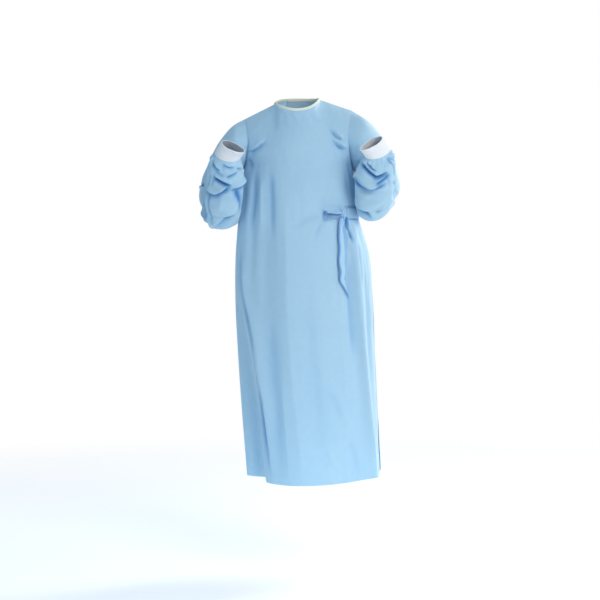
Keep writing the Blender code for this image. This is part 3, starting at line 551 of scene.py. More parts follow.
@dataclass
class Graph:
    """A material's node tree, with short calls for adding nodes to it."""

    name: str
    material: bpy.types.Material = field(init=False)

    def __post_init__(self) -> None:
        """Makes the material and keeps its shader."""
        self.material = bpy.data.materials.new(self.name)
        self.material.use_nodes = True
        self.tree = self.material.node_tree
        self.shader = self.tree.nodes["Principled BSDF"]

    def put(self, socket: bpy.types.NodeSocket, value: object) -> None:
        """Sets a socket to a number or colour, or links another socket to it."""
        if isinstance(value, bpy.types.NodeSocket):
            self.tree.links.new(value, socket)
        else:
            socket.default_value = value

    def add(self, kind: str, inputs: dict[str | int, object], **settings: object) -> bpy.types.Node:
        """Adds a node.

        Args:
            kind: The node's type, without its prefix.
            inputs: Values or sockets for its inputs, by name or number.
            **settings: The node's own settings.

        Returns:
            The new node.
        """
        node = self.tree.nodes.new("ShaderNode" + kind)
        for key, value in settings.items():
            setattr(node, key, value)
        for key, value in inputs.items():
            self.put(node.inputs[key], value)
        return node

    def cloth_map(self, turn: float = 0.0, scale: Row = (1.0, 1.0, 1.0)) -> bpy.types.NodeSocket:
        """The piece's own flat map in metres, turned and scaled."""
        uv = self.add("TexCoord", {}).outputs["UV"]
        turned = self.add("Mapping", {"Vector": uv, "Rotation": (0.0, 0.0, turn), "Scale": scale})
        return turned.outputs["Vector"]

    def noise(self, vector: bpy.types.NodeSocket, scale: float, detail: float) -> bpy.types.NodeSocket:
        """A cloudy pattern with so many clouds a metre."""
        inputs = {"Vector": vector, "Scale": scale, "Detail": detail}
        return self.add("TexNoise", inputs).outputs["Fac"]

    def span(self, value: object, low: float, high: float, start: float, end: float):
        """A value from low to high, mapped to one from start to end."""
        inputs = {"Value": value, "From Min": low, "From Max": high, "To Min": start, "To Max": end}
        return self.add("MapRange", inputs).outputs["Result"]

    def sum_of(self, first: object, second: object, operation: str = "ADD"):
        """Two values put together by a sum or another operation."""
        return self.add("Math", {0: first, 1: second}, operation=operation).outputs[0]

    def mix(self, share: object, first: object, second: object):
        """A colour between two others."""
        node = self.add("Mix", {}, data_type="RGBA")
        self.put(node.inputs["Factor"], share)
        self.put(node.inputs["A"], first)
        self.put(node.inputs["B"], second)
        return node.outputs["Result"]

    def bump(self, height: object, depth: float, strength: float, under: object = None):
        """A relief of that depth in metres, over another one."""
        inputs = {"Height": height, "Distance": depth, "Strength": strength}
        if under is not None:
            inputs["Normal"] = under
        return self.add("Bump", inputs).outputs["Normal"]

    def finish(self, colour: object, roughness: object, normal: object, **constants: object):
        """Links the shader's main inputs and sets its constant ones."""
        self.put(self.shader.inputs["Base Color"], colour)
        self.put(self.shader.inputs["Roughness"], roughness)
        self.put(self.shader.inputs["Normal"], normal)
        for key, value in constants.items():
            self.shader.inputs[key.replace("_", " ")].default_value = value
        return self.material


@dataclass(frozen=True)
class Nonwoven:
    """Spunbond cloth: a cloudy felt of fine fibres, welded in a grid of small points."""

    name: str
    pale: Colour
    deep: Colour
    # the colour of the painted shade in creases
    fold: Colour
    bond_pitch: float = 0.0021
    cloud_scale: float = 55.0
    fibre_scale: float = 1100.0

    def material(self) -> bpy.types.Material:
        """Builds the finish."""
        g = Graph(self.name)
        flat = g.cloth_map()
        turned = g.cloth_map(turn=math.radians(45))
        inputs = {"Vector": turned, "Scale": 1 / self.bond_pitch, "Randomness": 0.0}
        cell = g.add("TexVoronoi", inputs, voronoi_dimensions="2D").outputs["Distance"]
        weld = g.span(cell, 0.18, 0.34, 1.0, 0.0)
        fibre_map = g.cloth_map(turn=math.radians(12), scale=(1.0, 0.30, 1.0))
        fibre = g.noise(fibre_map, self.fibre_scale, 3.0)
        cloud = g.noise(flat, self.cloud_scale, 4.0)
        drift = g.noise(flat, self.cloud_scale / 9, 2.0)
        density = g.sum_of(g.span(cloud, 0.3, 0.7, 0.0, 0.55), g.span(drift, 0.3, 0.7, 0.0, 0.45))
        colour = g.mix(density, self.pale, self.deep)
        welds_and_painted_shade = g.mix(g.sum_of(weld, 0.22, "MULTIPLY"), colour, self.deep)
        # painted shade: the colour turns towards the fold colour where the shade attribute is high
        shade = g.add("Attribute", {}, attribute_name=SHADE).outputs["Fac"]
        welds_and_painted_shade = g.mix(g.sum_of(shade, 0.93, "MULTIPLY"), welds_and_painted_shade, self.fold)
        roughness = g.span(fibre, 0.3, 0.7, 0.62, 0.80)
        relief = g.bump(cloud, 0.0003, 0.25)
        relief = g.bump(fibre, 0.00012, 0.5, relief)
        relief = g.bump(g.span(weld, 0.0, 1.0, 1.0, 0.0), 0.00016, 0.6, relief)
        return g.finish(
            welds_and_painted_shade, roughness, relief, Sheen_Weight=0.15, Sheen_Roughness=0.45, Specular_IOR_Level=0.30,
            Subsurface_Weight=0.9, Subsurface_Scale=0.0022, Subsurface_Radius=(1.0, 1.0, 1.0),
        )


@dataclass(frozen=True)
class RibKnit:
    """White rib knit: loops in columns along each rib and courses across them."""

    name: str
    yarn: Colour
    # the darker colour: painted shade in the knit's hollows and between its ribs, and its random mottle
    hollow: Colour
    loop_width: float = 0.0013
    course: float = 0.0011

    def material(self) -> bpy.types.Material:
        """Builds the finish."""
        g = Graph(self.name)
        flat = g.cloth_map()
        uv = g.add("SeparateXYZ", {"Vector": flat})
        across, along = uv.outputs["X"], uv.outputs["Y"]
        half_turn = math.pi / self.loop_width
        side = g.sum_of(g.sum_of(across, half_turn, "MULTIPLY"), 0.0, "SINE")
        leg = g.sum_of(side, 0.0, "ABSOLUTE")
        lean = g.sum_of(leg, 0.9, "MULTIPLY")
        turns = g.sum_of(along, 2 * math.pi / self.course, "MULTIPLY")
        loop = g.sum_of(g.sum_of(turns, lean, "ADD"), 0.0, "SINE")
        height = g.sum_of(g.span(loop, -1.0, 1.0, 0.0, 0.6), g.sum_of(leg, 0.4, "MULTIPLY"))
        fuzz = g.noise(flat, 2600.0, 2.0)
        shade = g.noise(flat, 90.0, 2.0)
        # painted shade: darker where the knit's relief is low
        colour = g.mix(g.span(height, 0.1, 0.8, 0.0, 1.0), self.hollow, self.yarn)
        colour = g.mix(g.span(shade, 0.35, 0.7, 0.0, 0.25), colour, self.hollow)
        # painted shade between the ribs, from the shade attribute
        rib_gap_shade = g.add("Attribute", {}, attribute_name=SHADE).outputs["Fac"]
        colour = g.mix(g.sum_of(rib_gap_shade, 0.5, "MULTIPLY"), colour, self.hollow)
        relief = g.bump(height, 0.00028, 0.7, g.bump(fuzz, 0.0001, 0.4))
        return g.finish(
            colour, 0.88, relief, Sheen_Weight=0.25, Specular_IOR_Level=0.2,
            Subsurface_Weight=0.5, Subsurface_Scale=0.0015, Subsurface_Radius=(1.0, 1.0, 1.0),
        )


@dataclass(frozen=True)
class Braid:
    """Narrow knitted tape or sewing thread, with a fine slanted ply."""

    name: str
    pale: Colour
    deep: Colour
    ply: float = 0.0009
    slant: float = 35.0

    def material(self) -> bpy.types.Material:
        """Builds the finish."""
        g = Graph(self.name)
        flat = g.cloth_map()
        turned = g.cloth_map(turn=math.radians(self.slant))
        inputs = {"Vector": turned, "Scale": 1 / (2 * math.pi * self.ply), "Distortion": 0.4}
        strand = g.add("TexWave", inputs, wave_profile="SIN").outputs["Fac"]
        wear = g.noise(flat, 140.0, 3.0)
        # painted shade: darker in the grooves between the strands
        colour = g.mix(g.span(strand, 0.0, 0.6, 0.6, 0.0), self.pale, self.deep)
        colour = g.mix(g.span(wear, 0.4, 0.75, 0.0, 0.35), colour, self.deep)
        relief = g.bump(strand, 0.00022, 0.6, g.bump(wear, 0.0003, 0.3))
        return g.finish(colour, 0.82, relief, Sheen_Weight=0.2, Specular_IOR_Level=0.25)


@dataclass
class Finishes:
    """All the gown's finishes."""

    cloth: bpy.types.Material = field(init=False)
    knit: bpy.types.Material = field(init=False)
    binding: bpy.types.Material = field(init=False)
    thread: bpy.types.Material = field(init=False)
    white_thread: bpy.types.Material = field(init=False)

    def __post_init__(self) -> None:
        """Builds each finish once."""
        # the cloth's own pale and deep tones, then the painted shade colour for creases
        self.cloth = Nonwoven(
            "nonwoven_blue", (0.450, 0.655, 0.835, 1), (0.412, 0.622, 0.815, 1), (0.035, 0.215, 0.500, 1)
        ).material()
        self.knit = RibKnit("rib_knit_white", (0.98, 0.97, 0.96, 1), (0.78, 0.77, 0.80, 1)).material()
        self.binding = Braid("binding_cream", (0.86, 0.88, 0.74, 1), (0.70, 0.74, 0.58, 1)).material()
        blue = ((0.42, 0.64, 0.82, 1), (0.28, 0.50, 0.72, 1))
        white = ((0.90, 0.90, 0.86, 1), (0.70, 0.72, 0.64, 1))
        self.thread = Braid("thread_blue", *blue, ply=SEWING_PLY).material()
        self.white_thread = Braid("thread_white", *white, ply=SEWING_PLY).material()


class Slot(Enum):
    """The record's material slots."""

    CLOTH = "gown_cloth"
    KNIT = "cuff_knit"
    TAPE = "neck_tape"


def dress(
    piece: bpy.types.Object, material: bpy.types.Material, slot: Slot, *nodes: str
) -> bpy.types.Object:
    """Gives a piece its finish, its body and the nodes that it stands for."""
    piece.data.materials.clear()
    piece.data.materials.append(material)
    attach(piece, "root")
    if nodes:
        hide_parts(*nodes)
    LOG.info("%s: %d faces", piece.name, len(piece.data.polygons))
    return piece


@dataclass
class Stitches:
    """A row of sewing: short threads laid end to end on cloth."""

    length: float = 0.0030
    gap: float = 0.0013
    radius: float = 0.00032
    sides: int = 6
    rings: int = 5

    def template(self) -> tuple[Array, list[tuple[int, ...]]]:
        """One stitch along X, as points and faces."""
        bpy.ops.object.select_all(action="DESELECT")
        bpy.ops.mesh.primitive_uv_sphere_add(segments=self.sides, ring_count=self.rings, radius=1)
        ball = bpy.context.object
        points = np.array([vertex.co[:] for vertex in ball.data.vertices])[:, [2, 0, 1]]
        faces = [tuple(face.vertices) for face in ball.data.polygons]
        bpy.data.objects.remove(ball)
        return points * np.array([self.length / 2, self.radius, self.radius]), faces

    def row(self, name: str, lines: Sequence[tuple[Array, Array]]) -> bpy.types.Object:
        """Sews stitches along lines.

        Args:
            name: The new object's name.
            lines: For each line, its points on the cloth and the cloth's normals there.

        Returns:
            One mesh that holds every stitch.
        """
        shape, faces = self.template()
        points, all_faces = [], []
        for line, normals in lines:
            steps = np.linalg.norm(np.diff(line, axis=0), axis=-1)
            along = np.concatenate([[0], np.cumsum(steps)])
            count = max(1, int(along[-1] // (self.length + self.gap)))
            for k in range(count):
                middle = (k + 0.5) * along[-1] / count
                place, normal, ahead = (
                    np.array([np.interp(middle + shift, along, values[:, axis]) for axis in range(3)])
                    for values, shift in ((line, 0.0), (normals, 0.0), (line, self.length / 3))
                )
                forward = unit(ahead - place)
                normal = unit(normal - (normal @ forward) * forward)
                turned = np.stack([forward, np.cross(normal, forward), normal])
                base = sum(len(part) for part in points)
                points.append(shape @ turned + place + normal * self.radius * 0.5)
                all_faces += [tuple(base + n for n in face) for face in faces]
        mesh = bpy.data.meshes.new(name)
        mesh.from_pydata(np.concatenate(points).tolist(), [], all_faces)
        mesh.uv_layers.new(name="UVMap")
        mesh.shade_smooth()
        made = bpy.data.objects.new(name, mesh)
        bpy.context.scene.collection.objects.link(made)
        return made


def tube_rings(rings: Sequence[Array], count: int) -> Array:
    """Count + 1 rings on smooth curves through the given ones, evenly spaced along their middle."""
    rings = np.array(rings)
    steps = np.linalg.norm(np.diff(rings.mean(axis=1), axis=0), axis=1)
    along = np.concatenate([[0], np.cumsum(steps)]) / steps.sum()
    return read(along, rings, np.linspace(0, 1, count + 1))


def ring_of(row: Row, side: Side, columns: int) -> Array:
    """One ring of a sleeve or cuff, from the body side over the front."""
    x_in, z_in, x_out, z_out, y, pitch, deep = row
    inner = np.array([side.value * x_in, y, z_in])
    outer = np.array([side.value * x_out, y, z_out])
    tilt = math.radians(pitch)
    forward = np.array([0.0, -math.cos(tilt), math.sin(tilt)])
    turn = 2 * math.pi * np.arange(columns)[:, None] / columns
    middle, across = (inner + outer) / 2, (inner - outer) / 2
    return middle + np.cos(turn) * across + np.sin(turn) * deep * forward


SOFT, CRISP, FOLD = Profile.SOFT, Profile.CRISP, Profile.FOLD

# Each crease: its line as (s, z), its lift and its half width, then its profile, taper and tone, which
# scales the painted shade in its trough. Above the armpit z runs on at the same scale, to the top of
# the yoke.
FRONT_CREASES = (
    Crease(((0.140, -0.43), (0.152, -0.55), (0.232, -0.70), (0.252, -0.80), (0.282, -0.90), (0.297, -1.00),
            (0.312, -1.18)), 0.0085, 0.015, FOLD, 0.22, 0.60),
    Crease(
        ((0.430, -0.26), (0.430, -0.50), (0.432, -0.75), (0.450, -1.00), (0.456, -1.18)),
        0.0060, 0.034, CRISP, 0.22,
    ),
    Crease(((0.350, -0.62), (0.365, -0.85), (0.372, -1.18)), -0.0036, 0.020, SOFT, 0.3),
    Crease(((0.392, -0.80), (0.398, -0.98), (0.402, -1.18)), 0.0026, 0.012, CRISP, 0.35),
    Crease(((0.512, -0.55), (0.532, -0.80), (0.546, -1.16)), -0.0022, 0.022, SOFT, 0.35),
    Crease(((0.780, -0.44), (0.774, -0.50), (0.782, -0.62), (0.799, -0.75), (0.817, -0.89),
            (0.848, -1.04), (0.869, -1.16)), 0.0042, 0.009, CRISP, 0.20),
    Crease(((0.726, -0.46), (0.723, -0.55), (0.730, -0.68), (0.740, -0.80)), -0.0048, 0.011, SOFT, 0.3),
    Crease(((0.861, -0.42), (0.865, -0.50), (0.876, -0.62)), 0.0050, 0.008, CRISP),
    Crease(((0.832, -0.39), (0.808, -0.484), (0.818, -0.62)), -0.0050, 0.008, SOFT),
    # a narrow trough beside the front tail, with strong painted shade
    Crease(
        ((0.748, -0.340), (0.761, -0.375), (0.770, -0.405), (0.777, -0.440)),
        -0.0110, 0.005, SOFT, 0.35, 1.5,
    ),
    # painted shadow lines along the belt strap's lower and upper edges: shallow troughs, strongly toned
    Crease(((0.762, -0.3580), (0.865, -0.3580), (0.990, -0.3580)), -0.0022, 0.0035, SOFT, 0.08, 8.0),
    Crease(((0.765, -0.3225), (0.870, -0.3225), (0.990, -0.3225)), -0.0016, 0.0030, SOFT, 0.08, 12.0),
    Crease(((0.814, -0.362), (0.819, -0.400), (0.821, -0.450)), 0.0050, 0.007, CRISP),
    Crease(((0.677, -0.50), (0.669, -0.70), (0.677, -0.95)), 0.0024, 0.016, CRISP),
    Crease(((0.577, -0.85), (0.612, -0.91), (0.646, -0.97)), -0.0018, 0.010, SOFT),
    Crease(((0.594, -0.83), (0.636, -0.90), (0.682, -0.99)), 0.0018, 0.012, CRISP),
    Crease(((0.672, -1.00), (0.707, -1.07), (0.733, -1.16)), -0.0026, 0.013, SOFT),
    Crease(((0.548, -1.02), (0.585, -1.08), (0.622, -1.17)), 0.0022, 0.018, CRISP),
    Crease(((0.207, -0.20), (0.228, -0.30), (0.205, -0.42)), -0.0052, 0.009, SOFT),
    Crease(((0.323, -0.205), (0.358, -0.303), (0.368, -0.44)), -0.0055, 0.011, SOFT),
    Crease(((0.265, -0.205), (0.292, -0.31), (0.300, -0.41)), 0.0045, 0.010, CRISP),
    Crease(((0.120, -0.215), (0.140, -0.30), (0.110, -0.40)), -0.0040, 0.010, SOFT),
    Crease(
        ((0.020, -0.150), (0.120, -0.156), (0.235, -0.146), (0.300, -0.132)),
        0.0055, 0.009, FOLD, 0.35, 0.7,
    ),
    Crease(((0.030, -0.172), (0.110, -0.184), (0.200, -0.215)), -0.0045, 0.009, SOFT),
    Crease(
        ((0.715, -0.132), (0.780, -0.146), (0.860, -0.153), (0.970, -0.142)),
        0.0085, 0.008, FOLD, 0.45, 0.50,
    ),
    Crease(
        ((0.705, -0.106), (0.770, -0.120), (0.840, -0.129), (0.940, -0.125)),
        0.0065, 0.007, FOLD, 0.45, 0.55,
    ),
    Crease(((0.860, -0.175), (0.883, -0.23), (0.871, -0.31)), -0.0045, 0.010, SOFT),
    Crease(((0.790, -0.165), (0.796, -0.22), (0.776, -0.29)), 0.0028, 0.012, CRISP),
    Crease(((0.463, -0.036), (0.470, -0.060)), -0.0010, 0.006, SOFT),
    Crease(((0.463, -0.036), (0.522, -0.078)), 0.0014, 0.008, CRISP),
    Crease(((0.430, -0.040), (0.410, -0.075), (0.420, -0.110)), -0.0014, 0.009, SOFT),
    Crease(((0.560, -0.040), (0.620, -0.075), (0.690, -0.090)), -0.0020, 0.012, SOFT),
    Crease(((0.300, -0.045), (0.330, -0.080), (0.350, -0.130)), -0.0022, 0.012, SOFT),
    Crease(((0.636, -0.348), (0.536, -0.362), (0.450, -0.395)), -0.0026, 0.010, SOFT),
    Crease(((0.637, -0.325), (0.558, -0.300), (0.480, -0.290)), 0.0022, 0.012, CRISP),
    Crease(((0.650, -0.352), (0.594, -0.385), (0.552, -0.430)), -0.0022, 0.009, SOFT),
)
OUTER_CREASES = (
    Crease(((0.030, -0.150), (0.120, -0.160), (0.240, -0.150)), 0.0055, 0.009, FOLD, 0.35, 0.8),
    Crease(((0.040, -0.175), (0.130, -0.195), (0.230, -0.230)), -0.0045, 0.011, SOFT),
    Crease(((0.110, -0.20), (0.150, -0.32), (0.140, -0.46)), -0.0050, 0.011, SOFT),
    Crease(((0.250, -0.17), (0.300, -0.32), (0.300, -0.52)), -0.0060, 0.013, SOFT),
    Crease(((0.360, -0.20), (0.400, -0.42), (0.395, -0.75)), -0.0055, 0.014, SOFT),
    Crease(((0.165, -0.42), (0.190, -0.75), (0.175, -1.16)), 0.0080, 0.014, FOLD, 0.22, 0.6),
    Crease(((0.250, -0.50), (0.282, -0.80), (0.275, -1.16)), -0.0060, 0.014, SOFT, 0.25),
    Crease(((0.500, -1.16), (0.515, -0.80), (0.505, -0.46)), 0.0080, 0.015, FOLD, 0.22, 0.6),
    Crease(((0.590, -0.60), (0.610, -0.86), (0.595, -1.16)), -0.0055, 0.014, SOFT, 0.25),
    Crease(((0.070, -0.60), (0.090, -0.85), (0.080, -1.14)), -0.0060, 0.013, SOFT),
    Crease(((0.800, -0.360), (0.690, -0.392), (0.560, -0.398)), -0.0045, 0.010, SOFT),
    Crease(((0.560, -0.262), (0.680, -0.288), (0.800, -0.324)), -0.0045, 0.010, SOFT),
    Crease(((0.800, -0.375), (0.700, -0.425), (0.600, -0.450)), 0.0036, 0.011, CRISP),
    Crease(((0.790, -0.345), (0.690, -0.340), (0.600, -0.325)), -0.0032, 0.009, SOFT),
    Crease(((0.800, -0.37), (0.760, -0.47), (0.740, -0.64)), -0.0060, 0.010, SOFT),
    Crease(((0.820, -0.37), (0.830, -0.50), (0.850, -0.72)), 0.0060, 0.010, FOLD, 0.3, 0.7),
    Crease(((0.700, -0.60), (0.715, -0.88), (0.735, -1.15)), 0.0065, 0.012, FOLD, 0.25, 0.6),
    Crease(((0.860, -0.70), (0.880, -0.92), (0.900, -1.15)), -0.0050, 0.012, SOFT),
    Crease(((0.480, -0.030), (0.440, -0.100), (0.420, -0.180)), -0.0028, 0.011, SOFT),
    Crease(((0.300, -0.040), (0.300, -0.090), (0.250, -0.135)), -0.0030, 0.011, SOFT),
)
INNER_CREASES = (
    Crease(((0.770, -0.150), (0.880, -0.160), (0.970, -0.150)), 0.0055, 0.009, FOLD, 0.35, 0.8),
    Crease(((0.960, -0.178), (0.870, -0.200), (0.780, -0.235)), -0.0045, 0.011, SOFT),
    Crease(((0.890, -0.21), (0.860, -0.28), (0.850, -0.33)), -0.0040, 0.010, SOFT),
    Crease(((0.780, -0.16), (0.740, -0.28), (0.730, -0.40)), -0.0050, 0.012, SOFT),
    Crease(((0.640, -0.070), (0.620, -0.150), (0.600, -0.260)), -0.0034, 0.013, SOFT),
    Crease(((0.930, -0.38), (0.900, -0.55), (0.905, -0.80)), -0.0060, 0.012, SOFT),
    Crease(((0.960, -0.60), (0.965, -0.85), (0.970, -1.14)), 0.0045, 0.011, CRISP),
)


@dataclass
class Panel:
    """A body panel: a fine grid of points on its outer face, creased, and what lies on it."""

    name: str
    form: BodyForm
    front: bool
    shares: Array
    edges: tuple[Table, Table]
    creases: tuple[Crease, ...]
    seams: tuple[int, ...]  # which of its two edges are sewn
    laps: bool = False
    skirt_rows: int = 200
    yoke_rows: int = 44
    yoke_height: float = 0.170
    width: float = 0.59
    seam_dip: float = 0.0010
    seam_reach: float = 0.0035
    calm_reach: float = 0.020
    thickness: float = 0.0008
    ripple: float = 0.0007
    seed: float = 1.0

    def __post_init__(self) -> None:
        """Builds the creased face."""
        form = self.form
        low = np.linspace(0, form.armpit_level, self.skirt_rows + 1)
        self.levels = np.concatenate([low, np.linspace(low[-1], 1, self.yoke_rows + 1)[1:]])
        share, level = np.meshgrid(self.shares, self.levels)
        first, last = self.edge(0, level), self.edge(1, level)
        self.s = first + share * (last - first)
        self.cloth = Cloth(form.panel_point(self.s, level, self.front), flip=not self.front)
        self.cloth = Cloth(self.calmed(self.cloth.grid), flip=not self.front)
        if self.laps:
            self.cloth.move(form.lap_lift(self.s, level))
        lift = self.cloth.crease(self.creases, self.place)
        height = level * (form.armpit - form.hem_centre) / form.armpit_level
        lift = lift + self.ripple * hash_wave(self.s * self.width / 0.022, height / 0.085, self.seed)
        fine = hash_wave(self.s * self.width / 0.006, height / 0.021, self.seed + 4)
        lift = lift + 0.35 * self.ripple * fine
        from_top = (1 - level) / (1 - form.armpit_level) * self.yoke_height
        gaps = [from_top] + [np.abs(share - edge) * self.width for edge in self.seams]
        gap = np.minimum.reduce(gaps)
        lift = lift * smoothstep(gap / self.calm_reach)
        lift = lift - self.seam_dip * np.exp(-((gap / self.seam_reach) ** 2))
        self.cloth.move(lift)

    def calmed(self, grid: Array, passes: int = 240) -> Array:
        """The grid with its yoke evened out across the panel, away from its top and its sides."""
        high = (self.levels - self.form.armpit_level) / (1 - self.form.armpit_level)
        inside = (smoothstep(high / 0.25 + 0.5) * smoothstep((1 - high) / 0.16))[:, None]
        from_side = np.minimum(self.shares, self.shares[::-1])
        weight = 0.5 * (inside * smoothstep(from_side / 0.12)[None, :])[..., None]
        for _ in range(passes):
            ahead, behind = np.roll(grid, -1, axis=1), np.roll(grid, 1, axis=1)
            grid = grid + weight * ((ahead + behind) / 2 - grid)
        return grid

    def edge(self, which: int, level: Array) -> Array:
        """The s of one edge at a level."""
        return read(*zip(*self.edges[which]), level)

    def level_of(self, s: Array, z: Array) -> Array:
        """The level of a height, whose scale runs on above the armpit to the top."""
        form = self.form
        skirt = form.level_of(s, np.minimum(z, form.armpit), self.front)
        yoke = np.clip((z - form.armpit) / self.yoke_height, 0, 1) * (1 - form.armpit_level)
        return skirt + yoke

    def laid_on(self, s: Array, level: Array, out: Array | float) -> Array:
        """Points on the panel at s and a level, moved out of it."""
        s, level, out = np.broadcast_arrays(s, level, out)
        first, last = self.edge(0, level), self.edge(1, level)
        share = (s - first) / (last - first)
        column = np.interp(share, self.shares, np.arange(len(self.shares)))
        row = np.interp(level, self.levels, np.arange(len(self.levels)))
        return self.cloth.at(column, row, out)

    def place(self, s: Array, z: Array) -> Array:
        """Points of the panel's face at s and a height."""
        return self.laid_on(s, self.level_of(s, z), 0.0)

    def at_height(self, s: Array, z: Array, out: Array | float) -> Array:
        """Points laid on the panel at a height below the armpit."""
        return self.laid_on(s, self.level_of(s, z), out)

    def make(self, finish: bpy.types.Material) -> bpy.types.Object:
        """Sews the panel."""
        piece = self.cloth.sew(self.name + "_cloth", self.thickness)
        return dress(piece, finish, Slot.CLOTH, self.name)


@dataclass
class Body:
    """The front panel and the two back panels."""

    form: BodyForm
    shoulder_columns: int = 32
    neck_columns: int = 116
    outer_columns: int = 84
    inner_columns: int = 56

    def __post_init__(self) -> None:
        """Builds the three panels."""
        right_side, left_side = ((0.0, 0.0), (1.0, 0.0)), ((0.0, 1.0), (1.0, 1.0))
        form = self.form
        self.front = Panel(
            "front_panel", form, True, self.front_shares(), (right_side, left_side),
            FRONT_CREASES, (0, 1), seed=2.3,
        )
        self.outer = Panel(
            "back_panel_outer", form, False, self.back_shares(form.outer_edge[-1][1], self.outer_columns),
            (right_side, form.outer_edge), OUTER_CREASES, (0,), laps=True, seed=5.1,
        )
        inner_shares = 1 - self.back_shares(1 - form.inner_edge[-1][1], self.inner_columns)[::-1]
        self.inner = Panel(
            "back_panel_inner", form, False, inner_shares, (form.inner_edge, left_side),
            INNER_CREASES, (1,), seed=7.7,
        )

    def front_shares(self) -> Array:
        """The front panel's columns, dense enough along the shoulders and the neckline."""
        share = self.form.shoulder_share
        shoulder = np.linspace(0, share, self.shoulder_columns + 1)
        neck = np.linspace(share, 1 - share, self.neck_columns + 1)[1:-1]
        return np.concatenate([shoulder, neck, 1 - shoulder[::-1]])

    def back_shares(self, top_share: float, past_shoulder: int) -> Array:
        """A back panel's columns as shares of its width, from its side seam to its free edge."""
        shoulder = np.linspace(0, self.form.shoulder_share / top_share, self.shoulder_columns + 1)
        return np.concatenate([shoulder, np.linspace(shoulder[-1], 1, past_shoulder + 1)[1:]])

    def armhole(self, side: Side) -> Array:
        """The armhole's loop: from the armpit up the front panel's edge and down the back one's."""
        column, back = (0, self.outer) if side is Side.RIGHT else (-1, self.inner)
        rows = self.front.skirt_rows
        up = self.front.cloth.grid[rows:, column]
        down = back.cloth.grid[rows:, column]
        return np.concatenate([up, down[-2:0:-1]])

    def make(self, finish: bpy.types.Material) -> dict[str, bpy.types.Object]:
        """Sews the panels."""
        return {panel.name: panel.make(finish) for panel in (self.front, self.outer, self.inner)}


# x_in z_in x_out z_out y pitch deep
SLEEVE_RINGS = {
    Side.LEFT: (
        (0.1695, -0.206, 0.205, -0.052, -0.002, 0, 0.087),
        (0.1728, -0.214, 0.252, -0.100, -0.004, 0, 0.079),
        (0.1763, -0.230, 0.283, -0.162, -0.008, 0, 0.072),
        (0.1785, -0.252, 0.304, -0.225, -0.014, 4, 0.065),
        (0.1785, -0.284, 0.309, -0.276, -0.024, 22, 0.051),
        (0.1785, -0.315, 0.297, -0.301, -0.044, 52, 0.045),
        (0.1785, -0.326, 0.286, -0.305, -0.080, 90, 0.043),
        (0.1755, -0.312, 0.283, -0.294, -0.112, 124, 0.043),
        (0.1715, -0.272, 0.288, -0.262, -0.137, 146, 0.045),
        (0.1710, -0.234, 0.291, -0.224, -0.156, 152, 0.045),
        (0.1820, -0.200, 0.288, -0.184, -0.173, 150, 0.042),
        (0.2000, -0.176, 0.272, -0.156, -0.185, 147, 0.034),
    ),
    Side.RIGHT: (
        (0.1630, -0.207, 0.190, -0.072, -0.002, 0, 0.087),
        (0.1675, -0.216, 0.232, -0.118, -0.004, 0, 0.079),
        (0.1705, -0.234, 0.264, -0.176, -0.008, 0, 0.072),
        (0.1735, -0.262, 0.286, -0.240, -0.014, 4, 0.065),
        (0.1730, -0.302, 0.295, -0.296, -0.024, 22, 0.051),
        (0.1720, -0.334, 0.290, -0.332, -0.044, 52, 0.045),
        (0.1715, -0.345, 0.278, -0.343, -0.080, 90, 0.043),
        (0.1660, -0.328, 0.270, -0.326, -0.113, 124, 0.043),
        (0.1600, -0.284, 0.267, -0.282, -0.140, 148, 0.045),
        (0.1570, -0.242, 0.266, -0.236, -0.159, 153, 0.045),
        (0.1600, -0.206, 0.258, -0.196, -0.175, 150, 0.042),
        (0.1680, -0.181, 0.240, -0.167, -0.187, 146, 0.034),
    ),
}
CUFF_RINGS = {
    Side.LEFT: (
        (0.2000, -0.176, 0.272, -0.156, -0.185, 147, 0.034),
        (0.1930, -0.166, 0.262, -0.140, -0.203, 149, 0.030),
        (0.1830, -0.158, 0.249, -0.124, -0.224, 152, 0.030),
    ),
    Side.RIGHT: (
        (0.1680, -0.181, 0.240, -0.167, -0.187, 146, 0.034),
        (0.1600, -0.172, 0.230, -0.152, -0.205, 148, 0.030),
        (0.1510, -0.164, 0.219, -0.137, -0.226, 151, 0.030),
    ),
}
# along round climb spread_along spread_round lift
SLEEVE_FOLDS = (
    (0.615, 0.74, 0.00, 0.030, 0.15, 0.009),
    (0.665, 0.76, 0.05, 0.018, 0.14, -0.010),
    (0.715, 0.74, -0.06, 0.024, 0.15, 0.009),
    (0.775, 0.76, 0.06, 0.018, 0.14, -0.009),
    (0.835, 0.75, 0.00, 0.028, 0.18, 0.006),
    (0.470, 0.52, 0.00, 0.022, 0.10, -0.007),
    (0.600, 0.25, 0.00, 0.035, 0.14, -0.003),
    (0.250, 0.30, 0.10, 0.030, 0.12, -0.005),
)
